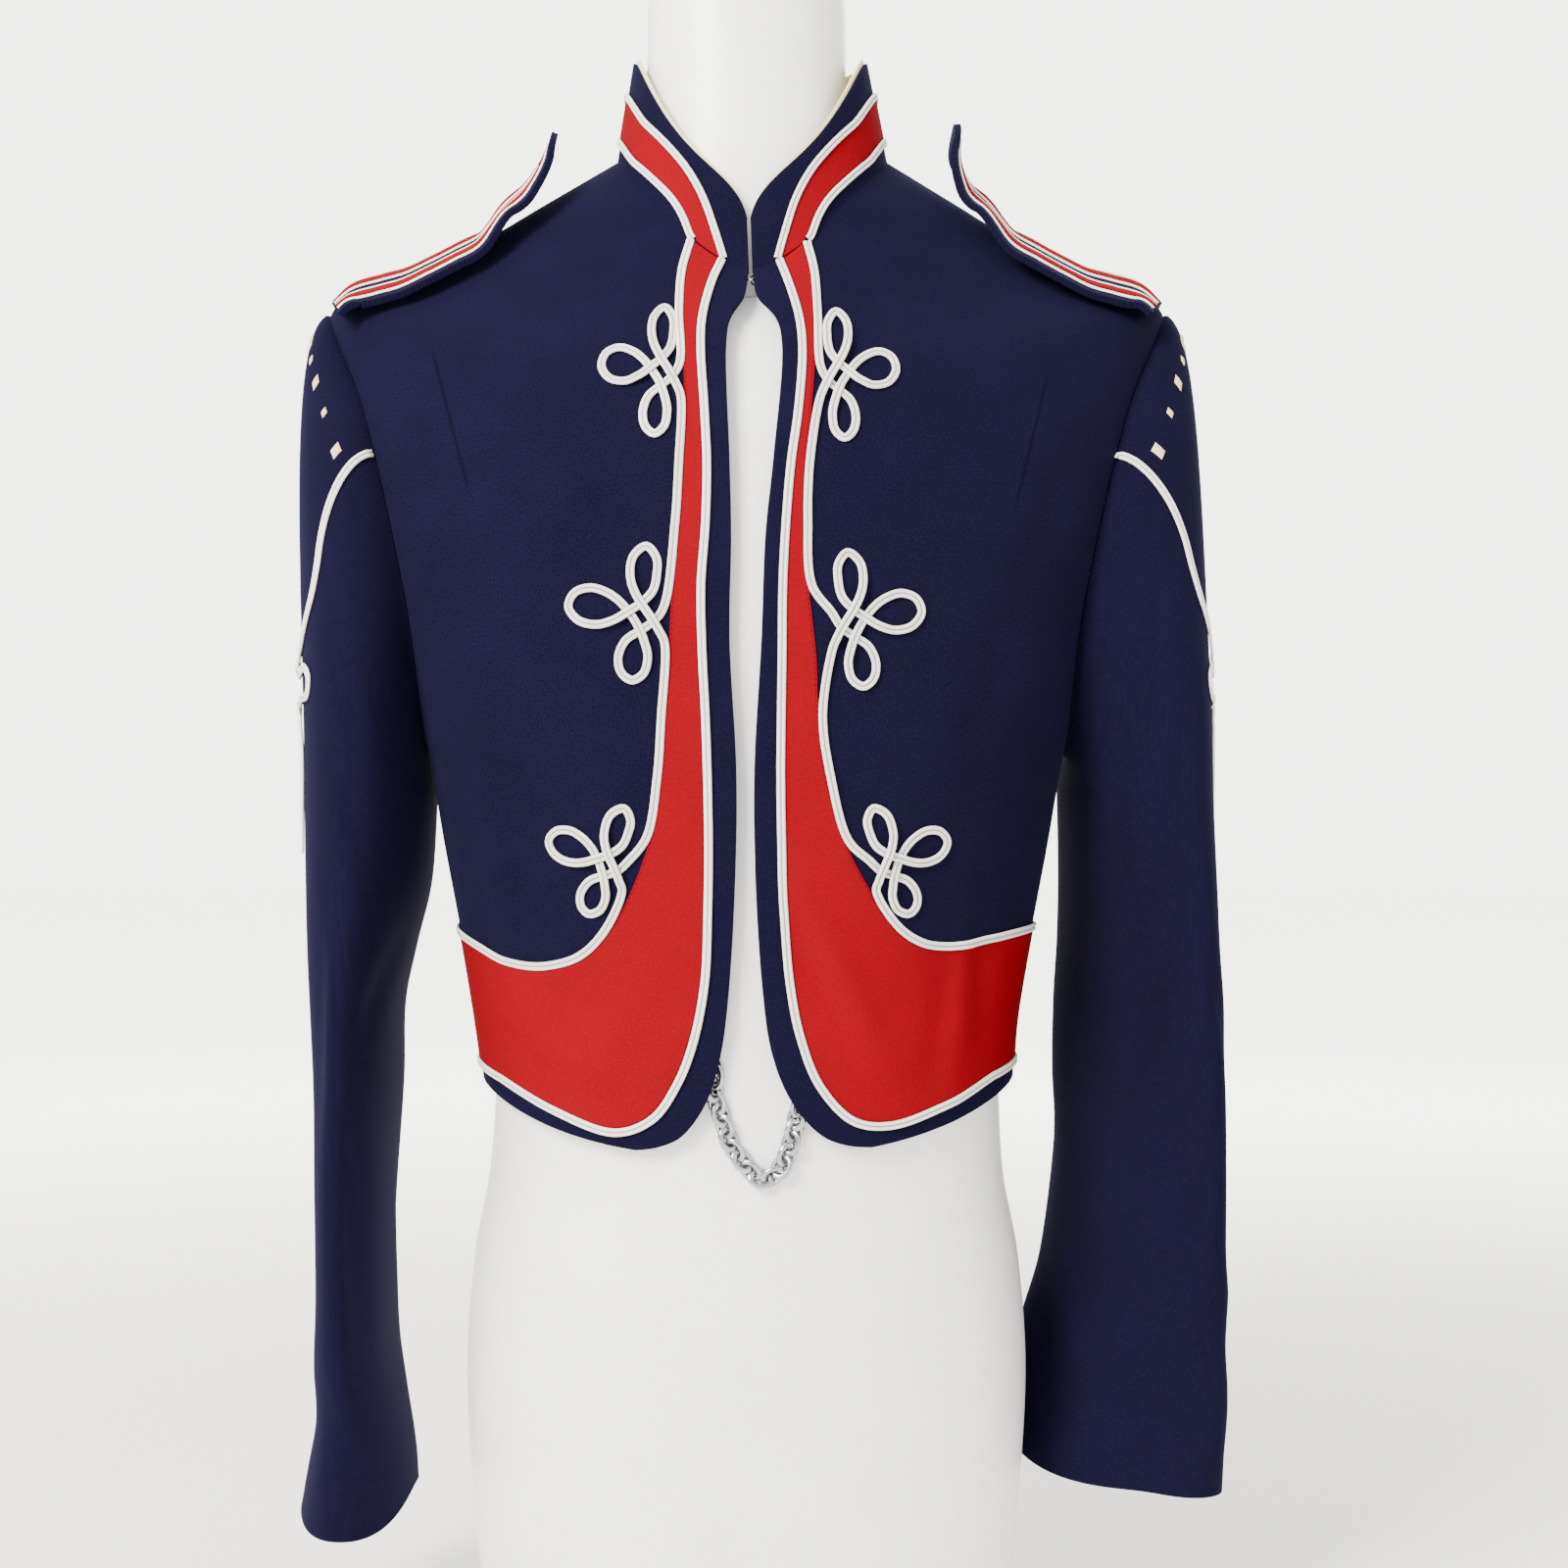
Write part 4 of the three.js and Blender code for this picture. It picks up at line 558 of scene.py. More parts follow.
def grid_piece(name, columns, rows, shape, facing, wrapped=False, marks=None):
    """A grid moved to shape(u, v), with distances along it in mm as its UV map.

    facing(u, v) tells which way is out. A wrapped grid is closed along its columns. The
    attribute edge holds each point's distance from the nearer side, and marks adds more.
    """
    bm = bmesh.new()
    bmesh.ops.create_grid(bm, x_segments=columns, y_segments=rows, size=0.5)
    mesh = bpy.data.meshes.new(name)
    bm.to_mesh(mesh)
    bm.free()
    count = len(mesh.vertices)
    flat = np.empty(count * 3)
    mesh.vertices.foreach_get("co", flat)
    flat = flat.reshape(-1, 3)
    u, v = flat[:, 0] + 0.5, flat[:, 1] + 0.5
    points = shape(u, v)
    column = nearest(u, columns)
    row = nearest(v, rows)
    table = np.zeros((rows + 1, columns + 1, 3))
    table[row, column] = points
    along = np.cumsum(np.linalg.norm(np.diff(table, axis=1), axis=2), axis=1)
    along = np.hstack([np.zeros((rows + 1, 1)), along])
    down = np.cumsum(np.linalg.norm(np.diff(table, axis=0), axis=2), axis=0)
    down = np.vstack([np.zeros((1, columns + 1)), down])
    uv = np.stack([along[row, column], down[row, column]], axis=1)
    loops = np.empty(len(mesh.loops), int)
    mesh.loops.foreach_get("vertex_index", loops)
    layer = mesh.uv_layers.new(name="cloth")
    layer.data.foreach_set("uv", uv[loops].ravel())
    width = along[row, -1]
    values = {"edge": np.minimum(along[row, column], width - along[row, column])}
    for label, mark in (marks or {}).items():
        values[label] = mark(u, v)
    for label, value in values.items():
        mesh.attributes.new(label, "FLOAT", "POINT").data.foreach_set("value", value)
    mesh.vertices.foreach_set("co", ((points - MIDDLE) * MM).ravel())
    mesh.update()
    normals = np.empty(len(mesh.polygons) * 3)
    mesh.polygons.foreach_get("normal", normals)
    corner = np.empty(len(mesh.polygons), int)
    mesh.polygons.foreach_get("loop_start", corner)
    first = loops[corner]
    turned = np.sum(normals.reshape(-1, 3) * facing(u[first], v[first])) < 0
    bm = bmesh.new()
    bm.from_mesh(mesh)
    if turned:
        bmesh.ops.reverse_faces(bm, faces=bm.faces)
    if wrapped:
        bmesh.ops.remove_doubles(bm, verts=bm.verts, dist=1e-6)
    bm.to_mesh(mesh)
    bm.free()
    mesh.shade_smooth()
    return link(name, mesh)


def thicken(obj, thickness, rim=0.5, segments=2, even=True):
    """Gives cloth its wall, inward from its face, with rounded edges."""
    wall = obj.modifiers.new("Wall", "SOLIDIFY")
    wall.thickness = thickness * MM
    wall.offset = -1
    wall.use_even_offset = even
    round_edges(obj, "Edge", rim, segments, 50)


def round_edges(obj, name, width, segments, degrees):
    bevel = obj.modifiers.new(name, "BEVEL")
    bevel.width = width * MM
    bevel.segments = segments
    bevel.limit_method = "ANGLE"
    bevel.angle_limit = degrees * DEGREE


def dress(obj, material, node):
    """Finishes a piece: its material, what it rides on, and the frame part that it stands for,
    which it hides.
    """
    obj.data.materials.append(material)
    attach(obj, "root")
    if node:
        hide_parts(node)


def ribbon(name, surface, line, section, lift, out=1):
    """A braid along a line of places on a surface: angle, ring, strands that it lies on.

    section is its closed outline, as distances across and up.
    """
    a, b, over = line[:, 0], line[:, 1], line[:, 2]
    normal = normal_of(surface, a, b, out)
    middle = surface(a, b) + normal * (lift + over * BRAID_STEP)[:, None]
    way = np.gradient(middle, axis=0)
    way /= np.linalg.norm(way, axis=1)[:, None]
    across = np.cross(way, normal)
    across /= np.linalg.norm(across, axis=1)[:, None]
    up = np.cross(across, way)
    outline = np.vstack([section, section[:1]])
    rows = len(line) - 1
    columns = len(section)

    def shape(u, v):
        i = nearest(v, rows)
        k = nearest(u, columns)
        return middle[i] + across[i] * outline[k, :1] + up[i] * outline[k, 1:]

    def facing(u, v):
        i = nearest(v, rows)
        k = nearest(u, columns)
        arm = outline[k] - section.mean(axis=0)
        return across[i] * arm[:, :1] + up[i] * arm[:, 1:]

    # The groove mark is painted shade: 0.8 along the foot of the braid and 1 in its middle groove.
    low = section[:, 1].min()
    shade = np.where(section[:, 1] <= low, 0.8, 0.0)
    shade[(np.abs(section[:, 0]) < 0.1 * section[:, 0].max()) & (section[:, 1] > low)] = 1.0

    def groove(u, _):
        return shade[nearest(u, columns) % columns]

    obj = grid_piece(name, columns, rows, shape, facing, wrapped=True, marks={"groove": groove})
    close_holes(obj)
    return obj


def close_holes(obj):
    bm = bmesh.new()
    bm.from_mesh(obj.data)
    edges = [edge for edge in bm.edges if edge.is_boundary]
    bmesh.ops.holes_fill(bm, edges=edges, sides=0)
    bm.to_mesh(obj.data)
    bm.free()


def soutache(width, height):
    """Outline of a braid with two rounded cords and a groove between them."""
    half = width / 2
    groove = 0.045 * width
    return np.array([
        (-half * 0.92, 0), (half * 0.92, 0), (half, height * 0.3), (half * 0.94, height * 0.68),
        (half * 0.74, height * 0.93), (half * 0.5, height), (half * 0.26, height * 0.9),
        (groove, height * 0.52), (-groove, height * 0.52), (-half * 0.26, height * 0.9),
        (-half * 0.5, height), (-half * 0.74, height * 0.93), (-half * 0.94, height * 0.68),
        (-half, height * 0.3),
    ])


def flat_strip(width, height):
    half = width / 2
    return np.array([
        (-half, 0), (half, 0), (half, height * 0.6), (half * 0.93, height), (half * 0.4, height),
        (0, height), (-half * 0.4, height), (-half * 0.93, height), (-half, height * 0.6),
    ])


# Materials

WAVE = 0.314  # scale of a wave texture whose bands are one unit apart
DASH = 0.68  # share of a stitch's pitch that is thread


class Tree:
    """Adds nodes to a node tree and joins them."""

    def __init__(self, tree):
        self.tree = tree

    def add(self, kind, inputs=None, **settings):
        node = self.tree.nodes.new(kind)
        for name, value in settings.items():
            setattr(node, name, value)
        for key, value in (inputs or {}).items():
            self.feed(node.inputs[key], value)
        return node

    def feed(self, socket, value):
        """Joins a socket to another one, or gives it a value."""
        if isinstance(value, bpy.types.NodeSocket):
            self.tree.links.new(value, socket)
        else:
            socket.default_value = value

    def math(self, operation, *values, clamp=False):
        node = self.add("ShaderNodeMath", dict(enumerate(values)), operation=operation)
        node.use_clamp = clamp
        return node.outputs[0]

    def vector(self, operation, *values):
        node = self.add("ShaderNodeVectorMath", dict(enumerate(values)), operation=operation)
        return node.outputs[0]

    def noise(self, vector, scale, detail=2.0, roughness=0.5):
        node = self.add("ShaderNodeTexNoise", {
            "Vector": vector, "Scale": scale, "Detail": detail, "Roughness": roughness,
        })
        return node.outputs["Fac"]

    def ramp(self, value, low, high):
        return self.add("ShaderNodeMapRange", {
            "Value": value, "From Min": low, "From Max": high, "To Min": 0.0, "To Max": 1.0,
        }, interpolation_type="SMOOTHSTEP").outputs["Result"]

    def mix(self, factor, first, second):
        node = self.add("ShaderNodeMix", data_type="RGBA")
        for name, value in (("Factor_Float", factor), ("A_Color", first), ("B_Color", second)):
            self.feed(next(item for item in node.inputs if item.identifier == name), value)
        return next(item for item in node.outputs if item.identifier == "Result_Color")


def new_group(name, inputs, outputs):
    tree = bpy.data.node_groups.new(name, "ShaderNodeTree")
    for label, kind, default in inputs:
        socket = tree.interface.new_socket(label, in_out="INPUT", socket_type=kind)
        if default is not None:
            socket.default_value = default
    for label, kind in outputs:
        tree.interface.new_socket(label, in_out="OUTPUT", socket_type=kind)
    nodes = Tree(tree)
    return tree, nodes, nodes.add("NodeGroupInput"), nodes.add("NodeGroupOutput")


def cloth_group():
    """Twill lines, fibres and soft shade of a wool cloth, from distances in mm."""
    if "Cloth" in bpy.data.node_groups:
        return bpy.data.node_groups["Cloth"]
    tree, nodes, given, result = new_group("Cloth", (
        ("Vector", "NodeSocketVector", None),
        ("Thread", "NodeSocketFloat", 0.7),
        ("Nap", "NodeSocketFloat", 0.7),
    ), (("Shade", "NodeSocketFloat"), ("Height", "NodeSocketFloat")))
    vector = given.outputs["Vector"]
    thread = given.outputs["Thread"]
    scale = nodes.math("DIVIDE", WAVE, thread)
    twill = nodes.add("ShaderNodeTexWave", {
        "Vector": vector, "Scale": scale, "Distortion": 1.6, "Detail": 2.0, "Detail Scale": 2.0,
    }, bands_direction="DIAGONAL").outputs["Fac"]
    threads = nodes.add("ShaderNodeTexWave", {
        "Vector": vector, "Scale": scale, "Distortion": 0.9, "Detail": 1.0,
    }, bands_direction="X").outputs["Fac"]
    weave = nodes.math("ADD", nodes.math("MULTIPLY", twill, 0.65),
                       nodes.math("MULTIPLY", threads, 0.35))
    fibre = nodes.noise(vector, nodes.math("DIVIDE", 0.55, thread), 4.0, 0.65)
    fleck = nodes.noise(vector, nodes.math("DIVIDE", 0.65, thread), 3.0, 0.6)
    cloud = nodes.noise(vector, 0.02, 3.0, 0.55)
    nap = given.outputs["Nap"]
    height = nodes.math("ADD", nodes.math("MULTIPLY", weave, nodes.math("SUBTRACT", 1.0, nap)),
                        nodes.math("MULTIPLY", fibre, nap))
    shade = nodes.math("ADD", nodes.math("MULTIPLY", fleck, 0.8),
                       nodes.math("MULTIPLY", cloud, 0.2))
    nodes.tree.links.new(shade, result.inputs["Shade"])
    nodes.tree.links.new(height, result.inputs["Height"])
    return tree


def dashes_group():
    """A line of stitches at a distance from an edge, from distances in mm."""
    if "Stitches" in bpy.data.node_groups:
        return bpy.data.node_groups["Stitches"]
    tree, nodes, given, result = new_group("Stitches", (
        ("Off", "NodeSocketFloat", 0.0),
        ("Along", "NodeSocketFloat", 0.0),
        ("Width", "NodeSocketFloat", 0.4),
        ("Pitch", "NodeSocketFloat", 3.0),
    ), (("Mask", "NodeSocketFloat"),))
    off = nodes.math("ABSOLUTE", given.outputs["Off"])
    near = nodes.math("SUBTRACT", 1.0, nodes.math("DIVIDE", off, given.outputs["Width"]),
                      clamp=True)
    beat = nodes.math("FRACT", nodes.math("DIVIDE", given.outputs["Along"],
                                          given.outputs["Pitch"]))
    dash = nodes.math("LESS_THAN", beat, DASH)
    nodes.tree.links.new(nodes.math("MULTIPLY", near, dash), result.inputs["Mask"])
    return tree


def made_once(name):
    """Marks what builds the material of this name. A later call hands out the same one."""
    def wrap(build):
        def give(settings):
            return bpy.data.materials.get(name) or build(name, settings)

        return give

    return wrap


def start_material(name):
    material = bpy.data.materials.new(name)
    material.use_nodes = True
    material.node_tree.nodes.clear()
    nodes = Tree(material.node_tree)
    shader = nodes.add("ShaderNodeBsdfPrincipled")
    output = nodes.add("ShaderNodeOutputMaterial")
    material.node_tree.links.new(shader.outputs[0], output.inputs["Surface"])
    return material, nodes, shader


def finish_material(nodes, shader, base, roughness, bump, **values):
    """Joins a base colour, a roughness and a bump, as strength, mm and height, to a shader."""
    strength, depth, height = bump
    raised = nodes.add("ShaderNodeBump", {
        "Strength": strength, "Distance": depth * MM, "Height": height,
    })
    nodes.tree.links.new(base, shader.inputs["Base Color"])
    nodes.tree.links.new(raised.outputs[0], shader.inputs["Normal"])
    nodes.tree.links.new(roughness, shader.inputs["Roughness"])
    for name, value in values.items():
        shader.inputs[name.replace("_", " ")].default_value = value


def shaded(color, factor):
    return tuple(min(1.0, channel * factor) for channel in color[:3]) + (1.0,)


def cloth_material(name, color, dark, light, thread, nap, depth, sheen, tint, roughness,
                   darts=(), edge=None):
    """A woven cloth. darts are sewn lines as x, z, turn, half length in mm, with painted shade
    along them; edge is the width of a stitched edge, with the distance of its stitches and their
    shade.
    """
    material, nodes, shader = start_material(name)
    links = material.node_tree.links
    uv = nodes.add("ShaderNodeUVMap", uv_map="cloth").outputs[0]
    place = nodes.add("ShaderNodeTexCoord").outputs["Object"]
    cloth = nodes.add("ShaderNodeGroup", node_tree=cloth_group())
    links.new(uv, cloth.inputs["Vector"])
    cloth.inputs["Thread"].default_value = thread
    cloth.inputs["Nap"].default_value = nap
    shade = nodes.ramp(cloth.outputs["Shade"], 0.3, 0.7)
    base = nodes.mix(shade, shaded(color, dark), shaded(color, light))
    lint = nodes.ramp(nodes.noise(place, 900.0, 2.0, 0.7), 0.7, 0.8)
    base = nodes.mix(nodes.math("MULTIPLY", lint, 0.22), base, shaded(color, light * 1.9))
    height = cloth.outputs["Height"]
    for x, z, turn, reach in darts:
        moved = nodes.add("ShaderNodeMapping", {
            "Vector": place,
            "Location": Vector(((MIDDLE[0] - x) * MM, 0, -z * MM)),
        }, vector_type="POINT").outputs[0]
        turned = nodes.add("ShaderNodeVectorRotate", {
            "Vector": moved, "Angle": turn * DEGREE,
        }, rotation_type="Y_AXIS").outputs[0]
        parts = nodes.add("ShaderNodeSeparateXYZ", {0: turned})
        off = nodes.math("ABSOLUTE", parts.outputs["X"])
        line = nodes.ramp(off, 0.0014, 0.0002)
        inside = nodes.ramp(nodes.math("ABSOLUTE", parts.outputs["Z"]), reach * MM,
                            (reach - 12) * MM)
        front = nodes.math("LESS_THAN", parts.outputs["Y"], 0.0)
        mask = nodes.math("MULTIPLY", nodes.math("MULTIPLY", line, inside), front)
        # Painted shade along the dart's sewn line, beside the sunk line in the height.
        base = nodes.mix(nodes.math("MULTIPLY", mask, 0.5), base, shaded(color, dark * 0.35))
        height = nodes.math("SUBTRACT", height, nodes.math("MULTIPLY", mask, 1.1))
    if edge is not None:
        across, along = edge_distances(nodes, uv, edge["width"])
        stitch = nodes.add("ShaderNodeGroup", node_tree=dashes_group())
        links.new(nodes.math("SUBTRACT", across, edge["off"]), stitch.inputs["Off"])
        links.new(along, stitch.inputs["Along"])
        stitch.inputs["Width"].default_value = edge["thread"]
        stitch.inputs["Pitch"].default_value = edge["pitch"]
        mask = stitch.outputs["Mask"]
        base = nodes.mix(nodes.math("MULTIPLY", mask, 0.8), base, edge["color"])
        height = nodes.math("SUBTRACT", height, nodes.math("MULTIPLY", mask, 0.8))
    rough = nodes.math("ADD", roughness - 0.06, nodes.math("MULTIPLY", shade, 0.1), clamp=True)
    finish_material(nodes, shader, base, rough, (0.5, depth, height), Sheen_Weight=sheen,
                    Sheen_Roughness=0.45, Sheen_Tint=tint, Specular_IOR_Level=0.03)
    return material


def edge_distances(nodes, uv, attribute):
    """Distance from the nearer long edge, from an attribute in mm, and along the edge."""
    parts = nodes.add("ShaderNodeSeparateXYZ", {0: uv})
    across = nodes.add("ShaderNodeAttribute", attribute_name=attribute).outputs["Fac"]
    return across, parts.outputs["Y"]


@made_once("Navy wool")
def wool(name, settings):
    return cloth_material(
        name, settings.wool_color, 0.52, 1.54, 0.75, 0.9, 0.3, 0.035,
        (0.3, 0.32, 0.8, 1), 0.92,
        darts=((-145.5, 616, 16.2, 43), (141.6, 603.5, -14.7, 39)),
    )


@made_once("Strap wool")
def strap_wool(name, settings):
    return cloth_material(name, settings.wool_color, 0.52, 1.54, 0.75, 0.6, 0.35, 0.035,
                          (0.3, 0.32, 0.8, 1), 0.92)


@made_once("Red wool")
def red_wool(name, settings):
    return cloth_material(
        name, settings.red_color, 0.8, 1.15, 0.55, 0.5, 0.3, 0.02,
        (1.0, 0.2, 0.15, 1), 0.9,
        edge={"width": "edge", "off": 0.9, "thread": 0.45, "pitch": 2.6,
              "color": (0.03, 0.003, 0.008, 1)},
    )


@made_once("Lining")
def lining_cotton(name, settings):
    return cloth_material(name, settings.lining_color, 0.8, 1.1, 0.5, 0.3, 0.15, 0.1,
                          (1, 0.95, 0.8, 1), 0.75)


@made_once("Soutache braid")
def braid_material(name, settings):
    """Braided cords: slanting ribs on each cord, painted shade in the hollows between the ribs, in
    the groove and along the foot.
    """
    material, nodes, shader = start_material(name)
    uv = nodes.add("ShaderNodeUVMap", uv_map="cloth").outputs[0]
    place = nodes.add("ShaderNodeTexCoord").outputs["Object"]
    parts = nodes.add("ShaderNodeSeparateXYZ", {0: uv})
    lean = nodes.math("MULTIPLY", parts.outputs["X"], 0.9)
    rib = nodes.math("SINE", nodes.math("MULTIPLY", nodes.math("ADD", parts.outputs["Y"], lean),
                                        2 * math.pi / 0.9))
    rib = nodes.math("MULTIPLY_ADD", rib, 0.5, 0.5)
    grime = nodes.ramp(nodes.noise(place, 45.0, 3.0, 0.6), 0.42, 0.75)
    fine = nodes.noise(place, 1400.0, 2.0, 0.6)
    groove = nodes.add("ShaderNodeAttribute", attribute_name="groove").outputs["Fac"]
    # Painted shade: the cream is lighter on the crests of the ribs and darker in their hollows,
    # following the bump.
    base = nodes.mix(rib, shaded(settings.braid_color, 0.84), shaded(settings.braid_color, 1.04))
    base = nodes.mix(nodes.math("MULTIPLY", grime, 0.25), base,
                     shaded(settings.braid_color, 0.72))
    # Painted shade: the groove and the foot of the braid are darkened towards a dark blue.
    base = nodes.mix(nodes.math("MULTIPLY", groove, 0.72), base, (0.10, 0.10, 0.17, 1))
    height = nodes.math("ADD", nodes.math("MULTIPLY", rib, 0.7),
                        nodes.math("MULTIPLY", fine, 0.3))
    finish_material(nodes, shader, base, nodes.math("MULTIPLY_ADD", fine, 0.2, 0.5),
                    (0.55, 0.25, height), Sheen_Weight=0.15, Specular_IOR_Level=0.35)
    return material


@made_once("Embroidery thread")
def thread_material(name, settings):
    material, nodes, shader = start_material(name)
    uv = nodes.add("ShaderNodeUVMap", uv_map="cloth").outputs[0]
    place = nodes.add("ShaderNodeTexCoord").outputs["Object"]
    parts = nodes.add("ShaderNodeSeparateXYZ", {0: uv})
    rib = nodes.math("SINE", nodes.math("MULTIPLY", parts.outputs["Y"], 2 * math.pi / 0.6))
    rib = nodes.math("MULTIPLY_ADD", rib, 0.5, 0.5)
    fine = nodes.noise(place, 900.0, 2.0, 0.6)
    # Painted shade: the thread is lighter on the crests of its ribs and darker between them,
    # following the bump.
    base = nodes.mix(rib, shaded(settings.thread_color, 0.7), shaded(settings.thread_color, 1.1))
    finish_material(nodes, shader, base, nodes.math("MULTIPLY_ADD", fine, 0.2, 0.4),
                    (0.6, 0.2, rib), Sheen_Weight=0.2)
    return material


@made_once("Form shell")
def form_material(name, settings):
    """A moulded shell with a satin paint: faint orange peel and rubbed places."""
    material, nodes, shader = start_material(name)
    place = nodes.add("ShaderNodeTexCoord").outputs["Object"]
    peel = nodes.noise(place, 420.0, 3.0, 0.55)
    cloud = nodes.ramp(nodes.noise(place, 9.0, 4.0, 0.6), 0.35, 0.7)
    speck = nodes.ramp(nodes.noise(place, 260.0, 2.0, 0.6), 0.71, 0.76)
    base = nodes.mix(cloud, shaded(settings.form_color, 0.94), shaded(settings.form_color, 1.02))
    base = nodes.mix(nodes.math("MULTIPLY", speck, 0.25), base, shaded(settings.form_color, 0.7))
    finish_material(nodes, shader, base, nodes.math("MULTIPLY_ADD", cloud, 0.12, 0.34),
                    (0.25, 0.25, peel), Coat_Weight=0.12)
    return material


@made_once("Bright metal")
def metal_material(name, settings):
    material, nodes, shader = start_material(name)
    place = nodes.add("ShaderNodeTexCoord").outputs["Object"]
    scratch = nodes.noise(nodes.vector("MULTIPLY", place, Vector((600, 4000, 600))), 1.0, 3.0)
    dull = nodes.ramp(nodes.noise(place, 160.0, 3.0, 0.6), 0.4, 0.75)
    base = nodes.mix(dull, shaded(settings.metal_color, 1.0), shaded(settings.metal_color, 0.62))
    finish_material(nodes, shader, base, nodes.math("MULTIPLY_ADD", dull, 0.22, 0.12),
                    (0.15, 0.05, scratch), Metallic=1.0)
    return material


# Lines of the trims

def front_edge(name, z):
    """The x of a front's edge at each height."""
    line = smooth_line(EDGES[:, [1 if name == "right" else 2, 0]], 2)
    return np.interp(z, line[:, 1], line[:, 0])


def knot_rows(knot, side):
    x, z, wide, high, degrees = knot
    turn = degrees * DEGREE
    out, up = KNOT[:, 0] * wide, KNOT[:, 1] * high
    return np.stack([
        x + side * (out * math.cos(turn) - up * math.sin(turn)),
        z + out * math.sin(turn) + up * math.cos(turn),
        KNOT[:, 2],
    ], axis=1)


def on_front_line(points, step):
    line = smooth_line(points, step)
    angle, row = on_front(line[:, 0], line[:, 1])
    return np.stack([angle, row, line[:, 2]], axis=1)


def inner_line(name, side, step):
    rows = PANEL[name][:, :2]
    return on_front_line(np.hstack([rows, np.zeros((len(rows), 1))]), step)


def outer_line(name, side, step):
    outer = PANEL[name][:, 2:]
    points = []
    start = 0
    for knot in KNOTS[name]:
        loops = knot_rows(knot, side)
        while outer[start, 1] > loops[0, 1] + KNOT_REACH:
            points.append((*outer[start], 0))
            start += 1
        points.extend(map(tuple, loops))
        while outer[start, 1] > loops[-1, 1] - KNOT_REACH:
            start += 1
    points.extend((*row, 0) for row in outer[start:])
    return on_front_line(points, step)


def round_line(line_of, ring, step):
    """A strand down the right front, round the back and up the left front."""
    right = line_of("right", -1, step)
    left = line_of("left", 1, step)[::-1].copy()
    left[:, 0] -= 2 * math.pi
    behind = np.linspace(-SIDE, -SIDE - math.pi, BAND_ANCHORS)
    anchors = np.stack([behind, np.full_like(behind, ring), np.zeros_like(behind)], axis=1)
    keys = np.vstack([right[-1], anchors, left[0]])
    place = softened(even_steps(keys, plain_torso, step), 6)
    return np.vstack([right[:-1], place, left[1:]])


def collar_line(columns, height, move, step):
    """A line round the collar, from one end at the neck seam to the other."""
    front = smooth_line(sideways(COLLAR_BRAIDS[:, columns], move), step)
    angle, share = on_collar(front[:, 0], front[:, 1])
    right = np.stack([angle, share, 0 * angle], axis=1)
    keys = [right[-1]] + [np.array([turn, height, 0]) for turn in (*COLLAR_BEHIND, -math.pi)]
    behind = even_steps(keys, collar, step)
    half = np.vstack([right[:-1], behind])
    other = half[-2::-1].copy()
    other[:, 0] = -2 * math.pi - other[:, 0]
    return softened(np.vstack([half, other]), 10)


def even_steps(keys, surface, step):
    """Steps of about the given length between places on a surface."""
    rows = []
    for first, second in zip(keys[:-1], keys[1:]):
        ends = [surface(np.array(key[0]), np.array(key[1])) for key in (first, second)]
        count = max(1, round(float(np.linalg.norm(ends[1] - ends[0])) / step))
        t = (np.arange(count) / count)[:, None]
        rows.append(first + (second - first) * t)
    rows.append(np.array(keys[-1:]))
    return np.vstack(rows)


def lengthened(line, count):
    """A line of any columns read at an even count of places."""
    at = np.linspace(0, len(line) - 1, count)
    return np.stack([np.interp(at, np.arange(len(line)), column) for column in line.T], axis=1)


def band_piece(name, surface, line_a, line_b, columns, lift):
    """Cloth between two lines with the same number of places."""
    rows = len(line_a) - 1

    def where(u, v):
        i = nearest(v, rows)
        place = line_a[i] + (line_b[i] - line_a[i]) * u[:, None]
        return place[:, 0], place[:, 1]

    def shape(u, v):
        a, b = where(u, v)
        return surface(a, b) + normal_of(surface, a, b) * lift

    def facing(u, v):
        return normal_of(surface, *where(u, v))

    return grid_piece(name, columns, rows, shape, facing)


# Pieces

def armhole_cut(row, most):
    seam = SEAM / 2 / table_at(RINGS, row)[..., 1]
    share = np.clip((row - UNDERARM) / (TIP - UNDERARM), 0, 1)
    return np.maximum(seam, most * np.sqrt(4 * share * (1 - share)))


def panel_rows(hem, armhole, neck, power):
    """Ring numbers from hem to neck, close together where the outline bends."""
    low = UNDERARM * np.linspace(0, 1, hem + 1) ** power
    turn = np.linspace(0, math.pi, armhole + 1)[1:]
    middle = UNDERARM + (TIP - UNDERARM) * (1 - np.cos(turn)) / 2
    high = np.linspace(TIP, NECK, neck + 1)[1:]
    return np.concatenate([low, middle, high])


def panel_piece(name, rows, columns, ends):
    """A panel of the body between the angles that ends gives for each ring number."""
    count = len(rows) - 1
    start, end = ends(rows)

    def where(u, v):
        i = nearest(v, count)
        return start[i] + (end[i] - start[i]) * u, rows[i]

    def shape(u, v):
        return torso(*where(u, v))

    def facing(u, v):
        return normal_of(plain_torso, *where(u, v))

    return grid_piece(name, columns, count, shape, facing)


def build_front(settings, name, side):
    def ends(rows):
        ring = table_at(RINGS, rows)
        edge = angle_at(front_edge(name, ring[:, 3]), ring)
        return edge, side * (SIDE - armhole_cut(rows, ARMHOLE_FRONT))

    obj = panel_piece(f"front_{name}_wool", panel_rows(58, 64, 36, 1.7), 84, ends)
    thicken(obj, settings.cloth * TO_MM, rim=0.7)
    dress(obj, wool(settings), f"front_{name}")


def build_back(settings):
    def ends(rows):
        start = SIDE + armhole_cut(rows, ARMHOLE_BACK)
        return start, 2 * math.pi - start

    obj = panel_piece("back_wool", panel_rows(48, 60, 34, 1.2), 150, ends)
    thicken(obj, settings.cloth * TO_MM, rim=0.7)
    dress(obj, wool(settings), "back")


def sleeve_rows():
    head = np.linspace(0, 1, 37)
    arm = np.linspace(1, len(SLEEVES["right"]), 130)[1:]
    return np.concatenate([head ** 1.2, arm])


